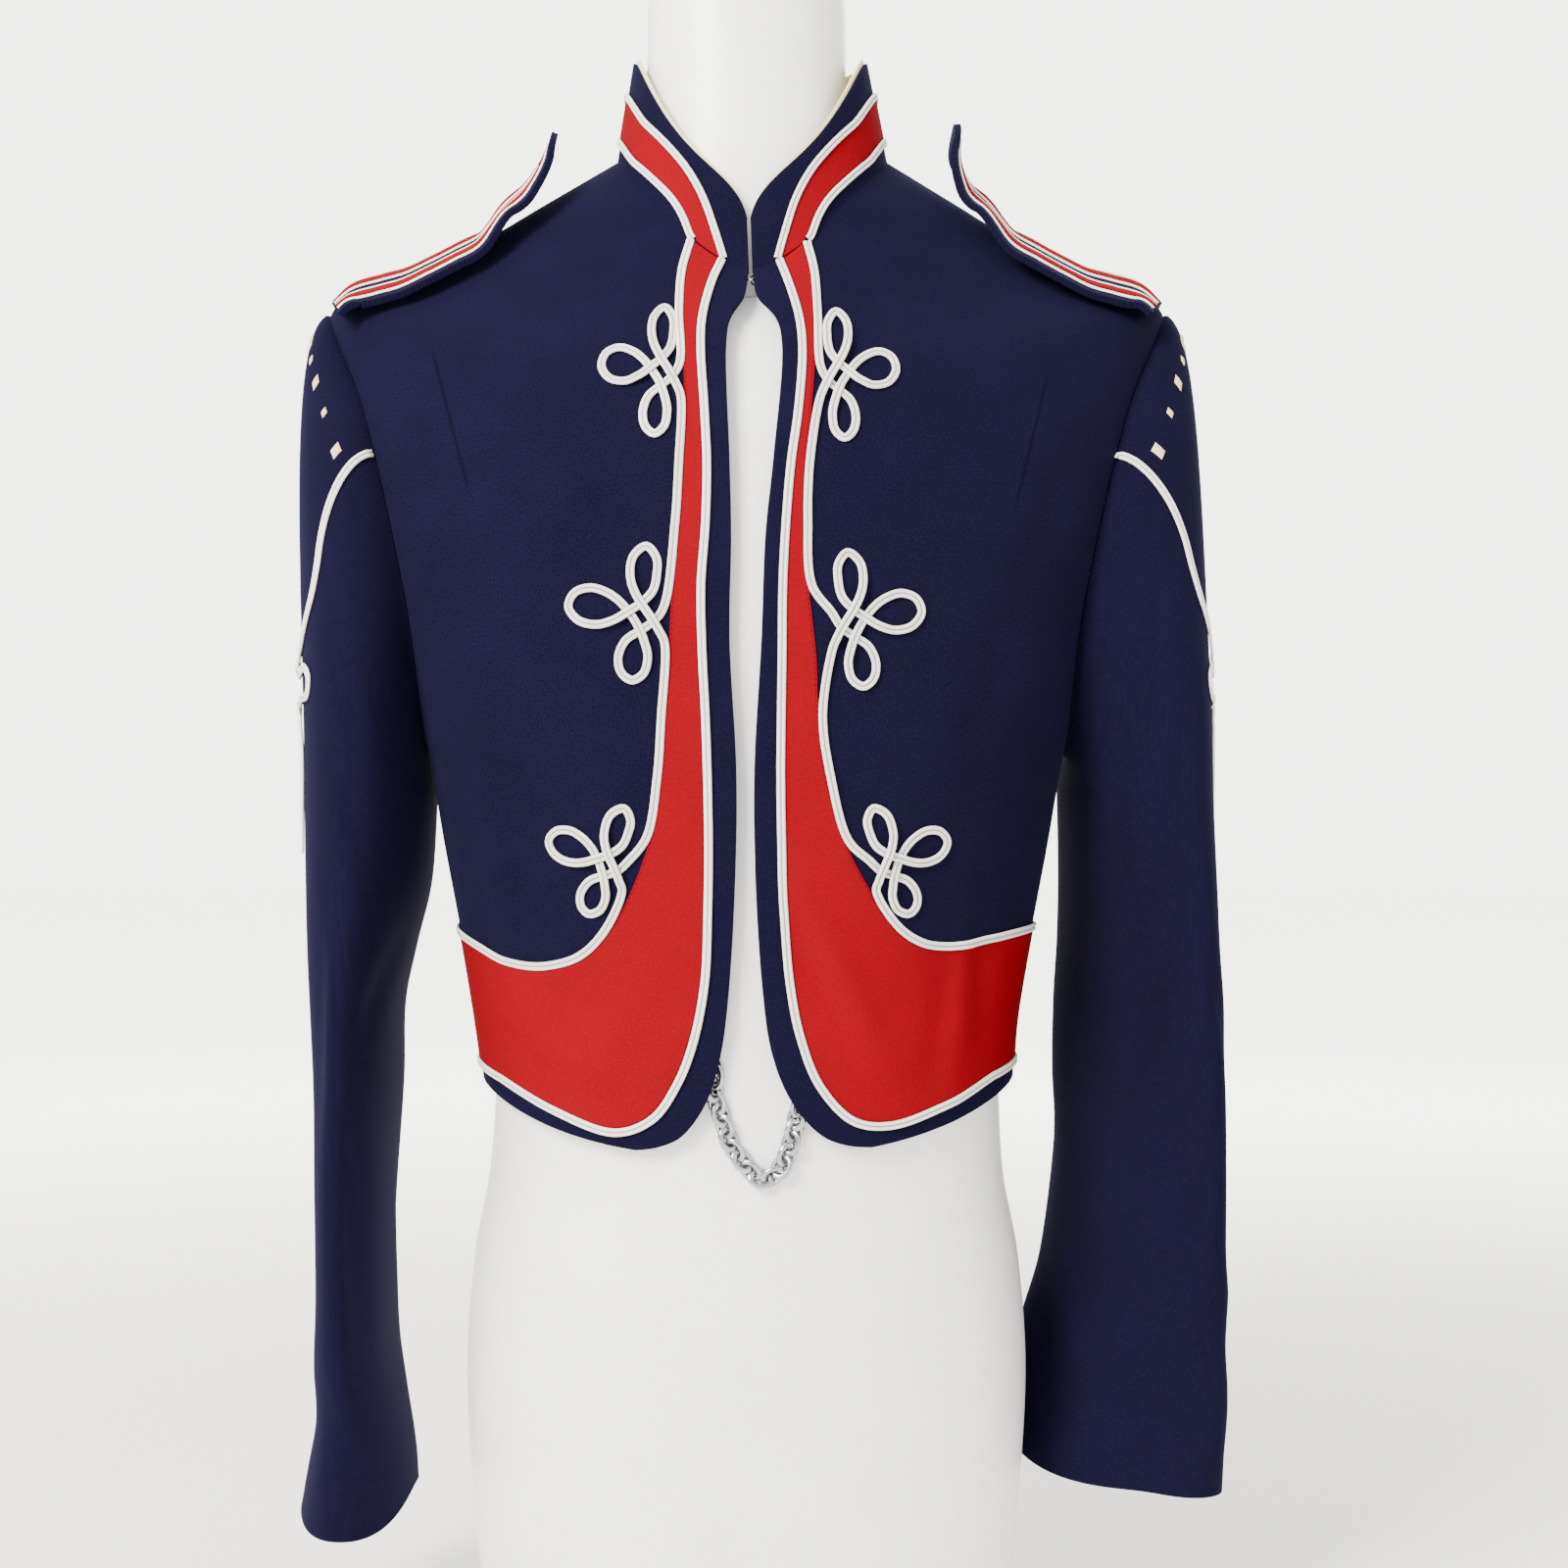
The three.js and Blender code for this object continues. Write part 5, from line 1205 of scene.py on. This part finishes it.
def build_sleeve(settings, name, side):
    surface = sleeve_surface(name, side)
    rows = sleeve_rows()
    count = len(rows) - 1

    def where(u, v):
        return 2 * math.pi * u, rows[nearest(v, count)]

    def shape(u, v):
        """The sleeve, with its first row tucked under the body's edge."""
        angle, down = where(u, v)
        spot = surface(angle, down)
        tucked = (down == 0)[:, None]
        into = normal_of(surface, angle, down + 0.01, side) * TUCK[1]
        return spot - tucked * (into + np.array([side * TUCK[0], 0, 0]))

    obj = grid_piece(
        f"sleeve_{name}_wool", 112, count, shape,
        lambda u, v: normal_of(surface, *where(u, v), side), wrapped=True,
    )
    thicken(obj, settings.cloth * TO_MM, rim=0.8)
    dress(obj, wool(settings), f"sleeve_{name}")


def sleeve_angles(surface, along):
    """The angle round a sleeve at distances forward of its outer line."""
    turns = np.linspace(-2.6, 2.6, 400)
    places = surface(turns, np.full(400, 0.75))
    reach = distances(places)
    reach -= np.interp(0, turns, reach)
    return np.interp(along, reach, turns)


def on_sleeve(surface, along, z):
    angle = sleeve_angles(surface, along)
    down = solve(0, 3, -np.asarray(z, float), lambda at: -surface(angle, at)[..., 2])
    return angle, down


def build_sleeve_braid(settings, name, side):
    surface = sleeve_surface(name, side)
    line = smooth_line(SLEEVE_BRAID, 1.1)
    angle, down = on_sleeve(surface, line[:, 0], line[:, 1])
    places = np.stack([angle, down, line[:, 2]], axis=1)
    braid_piece(settings, f"sleeve_{name}_soutache", f"sleeve_braid_{name}", surface, places,
                braid_section(settings), BRAID_LIFT, side)


def braid_section(settings, share=1.0):
    return soutache(settings.braid_width * TO_MM * share, settings.braid_height * TO_MM)


def braid_piece(settings, name, node, surface, line, section, lift, out=1):
    obj = ribbon(name, surface, line, section, lift, out)
    dress(obj, braid_material(settings), node)


def red_piece(settings, name, node, surface, lines, columns):
    """Red cloth between two lines on a surface."""
    obj = band_piece(name, surface, *lines, columns, settings.red_lift * TO_MM)
    thicken(obj, settings.red_cloth * TO_MM, rim=0.3)
    dress(obj, red_wool(settings), node)


def build_red_panel(settings, name, side):
    tables = []
    for columns, move in ((slice(0, 2), 1), (slice(2, 4), -1)):
        tables.append(sideways(PANEL[name][:, columns], side * move * settings.red_gap * TO_MM))
    spans = np.max([np.linalg.norm(np.diff(table, axis=0), axis=1) for table in tables], axis=0)
    counts = np.maximum(1, np.rint(spans / 2.2)).astype(int)
    edges = []
    for table, ring in zip(tables, RED_BAND):
        line = smooth_line(table, 0, counts=counts)
        angle, row = on_front(line[:, 0], line[:, 1])
        places = np.stack([angle, row], axis=1)
        end = np.array([side * (SIDE - RED_SEAM), ring])
        t = np.linspace(0, 1, 13)[1:, None]
        edges.append(np.vstack([places, places[-1] + (end - places[-1]) * t]))
    red_piece(settings, f"red_panel_{name}_cloth", f"red_panel_{name}", torso, edges, 34)


def build_red_back(settings):
    angle = np.linspace(SIDE + RED_SEAM, 2 * math.pi - SIDE - RED_SEAM, 180)
    lines = [np.stack([angle, np.full_like(angle, ring)], axis=1) for ring in RED_BAND]
    red_piece(settings, "red_waistband_cloth", "red_waistband_back", torso, lines, 26)


def build_body_braids(settings):
    for name, line_of, ring in (("inner", inner_line, SIDE_BAND[0]),
                                ("outer", outer_line, SIDE_BAND[1])):
        line = round_line(line_of, ring, 1.15)
        braid_piece(settings, f"soutache_{name}", f"braid_{name}", torso, line,
                    braid_section(settings), settings.braid_lift * TO_MM)


def collar_angles(columns):
    keys = (0.012, 0.05, 0.1, 0.17, 0.27, 0.4, 0.55, 0.75, 1, 1.3, 1.6, 2, 2.5, math.pi)
    half = np.interp(np.linspace(0, len(keys) - 1, columns // 2 + 1), range(len(keys)), keys)
    return np.concatenate([half, 2 * math.pi - half[-2::-1]])


def collar_piece(name, low, high, depth, columns=180, rows=14):
    angles = collar_angles(columns)

    def where(u, v):
        return angles[nearest(u, columns)], low + (high - low) * v

    def shape(u, v):
        a, b = where(u, v)
        return collar(a, b) - normal_of(collar, a, b) * depth

    return grid_piece(name, columns, rows, shape, lambda u, v: normal_of(collar, *where(u, v)))


def build_collar(settings):
    obj = collar_piece("collar_wool", -0.06, 1.0, 0)
    thicken(obj, COLLAR_CLOTH, rim=0.7)
    dress(obj, strap_wool(settings), "collar")
    obj = collar_piece("collar_lining_cotton", 0.3, 1.045, COLLAR_CLOTH + 0.1)
    thicken(obj, LINING, rim=0.4)
    dress(obj, lining_cotton(settings), "collar_lining")
    clear = settings.red_gap * TO_MM
    share = clear / COLLAR_HEIGHT
    lines = [collar_line([0, 1], COLLAR_RISE[1] - share, clear, 1.5),
             collar_line([2, 3], COLLAR_RISE[0] + share, -clear, 1.5)]
    count = max(len(line) for line in lines)
    lines = [lengthened(line, count)[:, :2] for line in lines]
    red_piece(settings, "collar_red_cloth", "collar_red", collar, lines, 8)
    for name, columns, height in (("high", [0, 1], COLLAR_RISE[1]),
                                  ("low", [2, 3], COLLAR_RISE[0])):
        line = collar_line(columns, height, 0, 1.1)
        braid_piece(settings, f"collar_soutache_{name}", f"collar_braid_{name}", collar, line,
                    braid_section(settings, 0.9), settings.braid_lift * TO_MM)


def strap_outline(length):
    """Rows of a strap: distance along it and half its width, with a round end."""
    straight = length - STRAP["half"]
    along = np.linspace(0, straight, 60)
    turn = np.linspace(0, STRAP["turned"], 30)[1:]
    return (np.concatenate([along, straight + STRAP["half"] * np.sin(turn)]),
            np.concatenate([np.full_like(along, STRAP["half"]), STRAP["half"] * np.cos(turn)]))


def strap_height(across):
    """How far a strap's face stands over its underside, at a distance from its middle."""
    return STRAP["face"] + STRAP["crown"] * (1 - (across / STRAP["half"]) ** 2)


def strap_path(length, at):
    """Up one side of a strap, round its end and back."""
    straight = length - STRAP["half"]
    up = np.arange(1.5, straight, 1.5)
    turn = np.linspace(-SIDE, SIDE, round(math.pi * at / 1.2) + 2)
    along = np.concatenate([up, straight + at * np.cos(turn), up[::-1]])
    across = np.concatenate([0 * up - at, at * np.sin(turn), 0 * up + at])
    return np.stack([along, across, 0 * along], axis=1)


def build_strap(settings, name, side):
    surface, length = strap_surface(name, side)
    along, half = strap_outline(length)
    count = len(along) - 1

    def where(u, v):
        i = nearest(v, count)
        return along[i], half[i] * (2 * u - 1)

    def shape(u, v):
        a, b = where(u, v)
        return surface(a, b) + normal_of(surface, a, b, -side) * strap_height(b)[:, None]

    obj = grid_piece(f"strap_{name}_wool", 26, count, shape,
                     lambda u, v: normal_of(surface, *where(u, v), -side))
    thicken(obj, STRAP["wall"], rim=0.9, segments=3, even=False)
    dress(obj, strap_wool(settings), f"strap_{name}")
    for trim, at, width in STRAP_TRIMS:
        path = strap_path(length, at)
        lift = strap_height(at)
        if trim == "red":
            section = flat_strip(width, STRAP_RED_HEIGHT)
            obj = ribbon(f"strap_red_{name}_cloth", surface, path, section, lift, out=-side)
            dress(obj, red_wool(settings), f"strap_red_{name}")
        else:
            section = soutache(width, settings.braid_height * TO_MM * STRAP_BRAID["share"])
            braid_piece(settings, f"strap_soutache_{trim.removeprefix('braid_')}_{name}",
                        f"strap_{trim}_{name}", surface, path, section,
                        lift + STRAP_BRAID["lift"], -side)


def form_table():
    """Rings of the dress form as rows like those of the body."""
    def level(z, half, front, back):
        return half, front, back, z, z, z, 2, 0, 0, 2.2

    rows = [level(*row) for row in FORM_HIPS]
    for place in FORM_ROWS:
        ring = table_at(RINGS, place)
        near_tip = math.exp(-((place - TIP) / FORM_INSET["reach"]) ** 2)
        t = min(max((place - UNDERARM) / (TIP - UNDERARM), 0), 1)
        lower = FORM_INSET["top"] * t * t * (3 - 2 * t)
        half, front, back, z_front, z_side, z_back, rise, middle, ridge, outline = ring
        rows.append((
            half - FORM_INSET["half"] - FORM_INSET["tip"] * near_tip,
            front - FORM_INSET["front"], back - FORM_INSET["back"],
            z_front - lower, z_side - lower - FORM_INSET["tip"] / 2 * near_tip,
            z_back - lower, rise, middle, ridge, outline,
        ))
    rows += [level(*row) for row in FORM_NECK]
    return np.array(rows, float)


def build_form(settings):
    table = form_table()
    last = len(table) - 1

    def surface(angle, row):
        return ring_point(table_at(table, row), angle)

    obj = grid_piece(
        "dress_form_shell", 128, 190, lambda u, v: surface(2 * math.pi * u, last * v),
        lambda u, v: normal_of(surface, 2 * math.pi * u, last * v), wrapped=True,
    )
    close_holes(obj)
    round_edges(obj, "Foot", 2.5, 3, 60)
    dress(obj, form_material(settings), "dress_form")


def build_chain(settings):
    """Curb chain links, each turned a little about the chain's line."""
    places = np.insert(CHAIN_LINE.astype(float), 1, CHAIN_Y, axis=1)
    dense = smooth_line(places, 0.3, keys=3)
    spots = even_line(dense, round(distances(dense)[-1] / CHAIN_PITCH) + 1)
    ways = np.gradient(spots, axis=0)
    bm = bmesh.new()
    start = Matrix.Translation((LINK["ring"], 0, 0)) @ Matrix.Rotation(SIDE, 4, "X")
    ring = bmesh.ops.create_circle(bm, segments=10, radius=LINK["wire"], matrix=start)
    edges = list({edge for vert in ring["verts"] for edge in vert.link_edges})
    bmesh.ops.spin(bm, geom=ring["verts"] + edges, cent=(0, 0, 0), axis=(0, 0, 1),
                   angle=2 * math.pi, steps=24, use_merge=True)
    bmesh.ops.scale(bm, vec=(LINK["long"], 1.0, 1.0), verts=bm.verts)
    master = list(bm.verts) + list(bm.edges) + list(bm.faces)
    for i, (spot, way) in enumerate(zip(spots, ways)):
        forward = Vector(way).normalized()
        across = forward.cross(Vector((0, -1, 0))).normalized()
        over = forward.cross(across).normalized()
        turn = Matrix.Rotation(LINK["twist"] if i % 2 else -LINK["twist"], 4, "X")
        frame_in = Matrix((forward, across, over)).transposed().to_4x4()
        move = Matrix.Translation(Vector((spot - MIDDLE) * MM)) @ frame_in @ turn
        move = move @ Matrix.Scale(MM, 4)
        copied = bmesh.ops.duplicate(bm, geom=master)["geom"]
        verts = [item for item in copied if isinstance(item, bmesh.types.BMVert)]
        bmesh.ops.transform(bm, matrix=move, verts=verts)
    bmesh.ops.delete(bm, geom=[item for item in master if isinstance(item, bmesh.types.BMVert)],
                     context="VERTS")
    bmesh.ops.recalc_face_normals(bm, faces=bm.faces)
    mesh = bpy.data.meshes.new("chain_links")
    bm.to_mesh(mesh)
    bm.free()
    mesh.shade_smooth()
    obj = link("chain_links", mesh)
    dress(obj, metal_material(settings), "chain")


def build_hook(settings):
    """The hook and eye keep their solids and get bright metal."""
    for name in ("hook", "eye"):
        obj = bpy.data.objects[name]
        obj.data.materials.clear()
        obj.data.materials.append(metal_material(settings))
        for slot in obj.material_slots:
            slot.material = metal_material(settings)


def build_embroidery(settings, name, side):
    """A row of stitched lozenges round the head of a sleeve."""
    surface = sleeve_surface(name, side)
    pieces = bmesh.new()
    for k in range(-LOZENGES["beside"], LOZENGES["beside"] + 1):
        along, z = LOZENGES["pitch"] * k, LOZENGES["top"] - LOZENGES["fall"] * k * k
        size = LOZENGES["large" if k % 2 == 0 else "small"]

        def shape(u, v, along=along, z=z, size=size):
            across, up = 2 * u - 1, 2 * v - 1
            right = (across + up) / 2 * size * LOZENGES["slim"]
            high = (across - up) / 2 * size
            angle, down = on_sleeve(surface, along + right, z + high)
            swell = 0.25 + 0.9 * np.clip((1 - across ** 2) * (1 - up ** 2), 0, 1) ** 0.5
            return surface(angle, down) + normal_of(surface, angle, down, side) * swell[:, None]

        def facing(u, v):
            return np.tile([side, 0, 0], (len(u), 1))

        part = grid_piece("lozenge", 10, 10, shape, facing)
        pieces.from_mesh(part.data)
        bpy.data.objects.remove(part)
    mesh = bpy.data.meshes.new(f"sleeve_{name}_embroidery")
    pieces.to_mesh(mesh)
    pieces.free()
    mesh.shade_smooth()
    obj = link(f"sleeve_{name}_embroidery", mesh)
    dress(obj, thread_material(settings), None)


def area_light(name, place, target, size, power, color):
    data = bpy.data.lights.new(name, "AREA")
    data.shape = "RECTANGLE"
    data.size, data.size_y = size
    data.energy = power
    data.color = color
    obj = link(name, data)
    obj.location = place
    obj.rotation_euler = (Vector(target) - Vector(place)).to_track_quat("-Z", "Y").to_euler()


def build_stage(settings):
    bm = bmesh.new()
    bmesh.ops.create_grid(bm, x_segments=8, y_segments=8, size=FLOOR["half"])
    bmesh.ops.translate(bm, vec=(0, 0, -FLOOR["under"]), verts=bm.verts)
    mesh = bpy.data.meshes.new("floor")
    bm.to_mesh(mesh)
    bm.free()
    floor = link("floor", mesh)
    material, nodes, shader = start_material("Pale floor")
    place = nodes.add("ShaderNodeTexCoord").outputs["Object"]
    cloud = nodes.noise(place, 1.2, 2.0, 0.5)
    base = nodes.mix(cloud, shaded(settings.stage_color, 0.98), shaded(settings.stage_color, 1.02))
    nodes.tree.links.new(base, shader.inputs["Base Color"])
    seen = nodes.add("ShaderNodeLightPath").outputs["Is Camera Ray"]
    reach = nodes.add("ShaderNodeVectorMath", {0: place}, operation="LENGTH").outputs[1]
    away = nodes.ramp(reach, FLOOR["near"], FLOOR["far"])
    shader.inputs["Emission Color"].default_value = (*settings.world_color, 1)
    nodes.tree.links.new(nodes.math("MULTIPLY", nodes.math("MULTIPLY", seen, away),
                                    settings.backdrop_light - settings.world_light),
                         shader.inputs["Emission Strength"])
    shader.inputs["Roughness"].default_value = 0.9
    mesh.materials.append(material)

    world = bpy.data.worlds.new("Soft studio")
    world.use_nodes = True
    background = world.node_tree.nodes["Background"]
    background.inputs["Color"].default_value = (*settings.world_color, 1)
    sky = Tree(world.node_tree)
    seen = sky.add("ShaderNodeLightPath").outputs["Is Camera Ray"]
    light = sky.math("MULTIPLY_ADD", seen, settings.backdrop_light - settings.world_light,
                     settings.world_light)
    world.node_tree.links.new(light, background.inputs["Strength"])
    bpy.context.scene.world = world
    for lamp in LIGHTS:
        area_light(*lamp)

    data = bpy.data.cameras.new("Front view")
    data.sensor_fit = "HORIZONTAL"
    data.angle = settings.view_angle
    data.clip_start = 0.01
    camera = link("Front view", data)
    camera.location = (np.array(CAMERA) - MIDDLE) * MM
    camera.rotation_euler = (SIDE, 0, 0)
    bpy.context.scene.camera = camera


# Settings, operators and panel

def length_setting(name, description, default, low, high):
    return FloatProperty(name=name, description=description, default=default, min=low,
                         max=high, unit="LENGTH")


def color_setting(name, description, default):
    return FloatVectorProperty(name=name, description=description, default=default, min=0,
                               max=1, subtype="COLOR")


class BandJacketSettings(bpy.types.PropertyGroup):
    """Sizes and colours of the jacket."""

    cloth: length_setting("Wool thickness", "Wall of the wool", 0.002, 0.001, 0.003)
    red_cloth: length_setting("Red cloth thickness", "Wall of the red cloth", 0.0008, 0.0004,
                              0.002)
    red_lift: length_setting("Red cloth height",
                             "How far the face of the red cloth stands over the wool",
                             0.0009, 0.0005, 0.003)
    red_gap: length_setting("Red cloth gap",
                            "From the middle of a braid to the edge of the red cloth",
                            0.0016, 0.0, 0.005)
    braid_width: length_setting("Braid width", "Width of the braid", 0.0041, 0.002, 0.008)
    braid_height: length_setting("Braid height", "Thickness of the braid", 0.0015, 0.0008, 0.003)
    braid_lift: length_setting("Braid lift", "How far the braid's foot stands over the wool",
                               0.0006, 0.0, 0.003)
    view_angle: FloatProperty(name="View angle", description="Angle that the camera sees",
                              default=35.17 * DEGREE, subtype="ANGLE")
    world_light: FloatProperty(name="Room light", description="Strength of the even light",
                               default=2.1, min=0.0, max=4.0)
    backdrop_light: FloatProperty(name="Backdrop light", description="How bright the room looks",
                                  default=5.6, min=0.0, max=9.0)
    wool_color: color_setting("Wool", "Navy wool", (0.0033, 0.0026, 0.0112))
    red_color: color_setting("Red cloth", "Red wool cloth", (0.155, 0.0, 0.0036))
    braid_color: color_setting("Braid", "Cream braid", (0.80, 0.76, 0.68))
    lining_color: color_setting("Lining", "Collar lining", (0.70, 0.62, 0.34))
    thread_color: color_setting("Embroidery", "Embroidery thread", (0.74, 0.55, 0.32))
    form_color: color_setting("Form", "Dress form shell", (0.84, 0.835, 0.82))
    metal_color: color_setting("Metal", "Chain, hook and eye", (0.42, 0.425, 0.44))
    stage_color: color_setting("Floor", "Pale floor", (0.86, 0.845, 0.81))
    world_color: color_setting("Room", "Colour of the even light", (0.86, 0.85, 0.82))


class MakeStage(bpy.types.Operator):
    """Make the floor, the soft light and the camera"""
    bl_idname = "band_jacket.stage"
    bl_label = "Stage"

    def execute(self, context):
        build_stage(context.scene.band_jacket)
        return {"FINISHED"}


class MakeForm(bpy.types.Operator):
    """Make the dress form that carries the jacket"""
    bl_idname = "band_jacket.form"
    bl_label = "Dress form"

    def execute(self, context):
        build_form(context.scene.band_jacket)
        return {"FINISHED"}


class MakeBody(bpy.types.Operator):
    """Make the two fronts and the back"""
    bl_idname = "band_jacket.body"
    bl_label = "Fronts and back"

    def execute(self, context):
        settings = context.scene.band_jacket
        for name, side in SIDES:
            build_front(settings, name, side)
        build_back(settings)
        return {"FINISHED"}


class MakeSleeves(bpy.types.Operator):
    """Make the sleeves"""
    bl_idname = "band_jacket.sleeves"
    bl_label = "Sleeves"

    def execute(self, context):
        for name, side in SIDES:
            build_sleeve(context.scene.band_jacket, name, side)
        return {"FINISHED"}


class MakeRedCloth(bpy.types.Operator):
    """Lay the red cloth on the fronts and round the waist"""
    bl_idname = "band_jacket.red_cloth"
    bl_label = "Red cloth"

    def execute(self, context):
        settings = context.scene.band_jacket
        for name, side in SIDES:
            build_red_panel(settings, name, side)
        build_red_back(settings)
        return {"FINISHED"}


class MakeCollar(bpy.types.Operator):
    """Make the stand collar with its lining, red cloth and braid"""
    bl_idname = "band_jacket.collar"
    bl_label = "Collar"

    def execute(self, context):
        build_collar(context.scene.band_jacket)
        return {"FINISHED"}


class MakeBraids(bpy.types.Operator):
    """Sew on the braid with its knots"""
    bl_idname = "band_jacket.braids"
    bl_label = "Braid"

    def execute(self, context):
        settings = context.scene.band_jacket
        build_body_braids(settings)
        for name, side in SIDES:
            build_sleeve_braid(settings, name, side)
        return {"FINISHED"}


class MakeStraps(bpy.types.Operator):
    """Make the shoulder straps"""
    bl_idname = "band_jacket.straps"
    bl_label = "Shoulder straps"

    def execute(self, context):
        for name, side in SIDES:
            build_strap(context.scene.band_jacket, name, side)
        return {"FINISHED"}


class MakeEmbroidery(bpy.types.Operator):
    """Stitch the lozenges on the sleeve heads"""
    bl_idname = "band_jacket.embroidery"
    bl_label = "Embroidery"

    def execute(self, context):
        for name, side in SIDES:
            build_embroidery(context.scene.band_jacket, name, side)
        return {"FINISHED"}


class MakeMetal(bpy.types.Operator):
    """Make the chain and finish the hook and eye"""
    bl_idname = "band_jacket.metal"
    bl_label = "Chain, hook and eye"

    def execute(self, context):
        build_chain(context.scene.band_jacket)
        build_hook(context.scene.band_jacket)
        return {"FINISHED"}


OPERATORS = (MakeStage, MakeForm, MakeBody, MakeSleeves, MakeRedCloth, MakeCollar, MakeBraids,
             MakeStraps, MakeEmbroidery, MakeMetal)


class BandJacketPanel(bpy.types.Panel):
    """Lists the pieces of the jacket"""
    bl_idname = "VIEW3D_PT_band_jacket"
    bl_label = "Band jacket"
    bl_space_type = "VIEW_3D"
    bl_region_type = "UI"
    bl_category = "Band jacket"

    def draw(self, context):
        for operator in OPERATORS:
            self.layout.operator(operator.bl_idname)
        for name in BandJacketSettings.__annotations__:
            self.layout.prop(context.scene.band_jacket, name)


CLASSES = (BandJacketSettings, *OPERATORS, BandJacketPanel)


def register():
    for item in CLASSES:
        bpy.utils.register_class(item)
    bpy.types.Scene.band_jacket = PointerProperty(type=BandJacketSettings)


def unregister():
    del bpy.types.Scene.band_jacket
    for item in reversed(CLASSES):
        bpy.utils.unregister_class(item)


def main():
    register()
    for operator in OPERATORS:
        name = operator.bl_idname.split(".")[1]
        getattr(bpy.ops.band_jacket, name)()


if __name__ == "__main__":
    main()
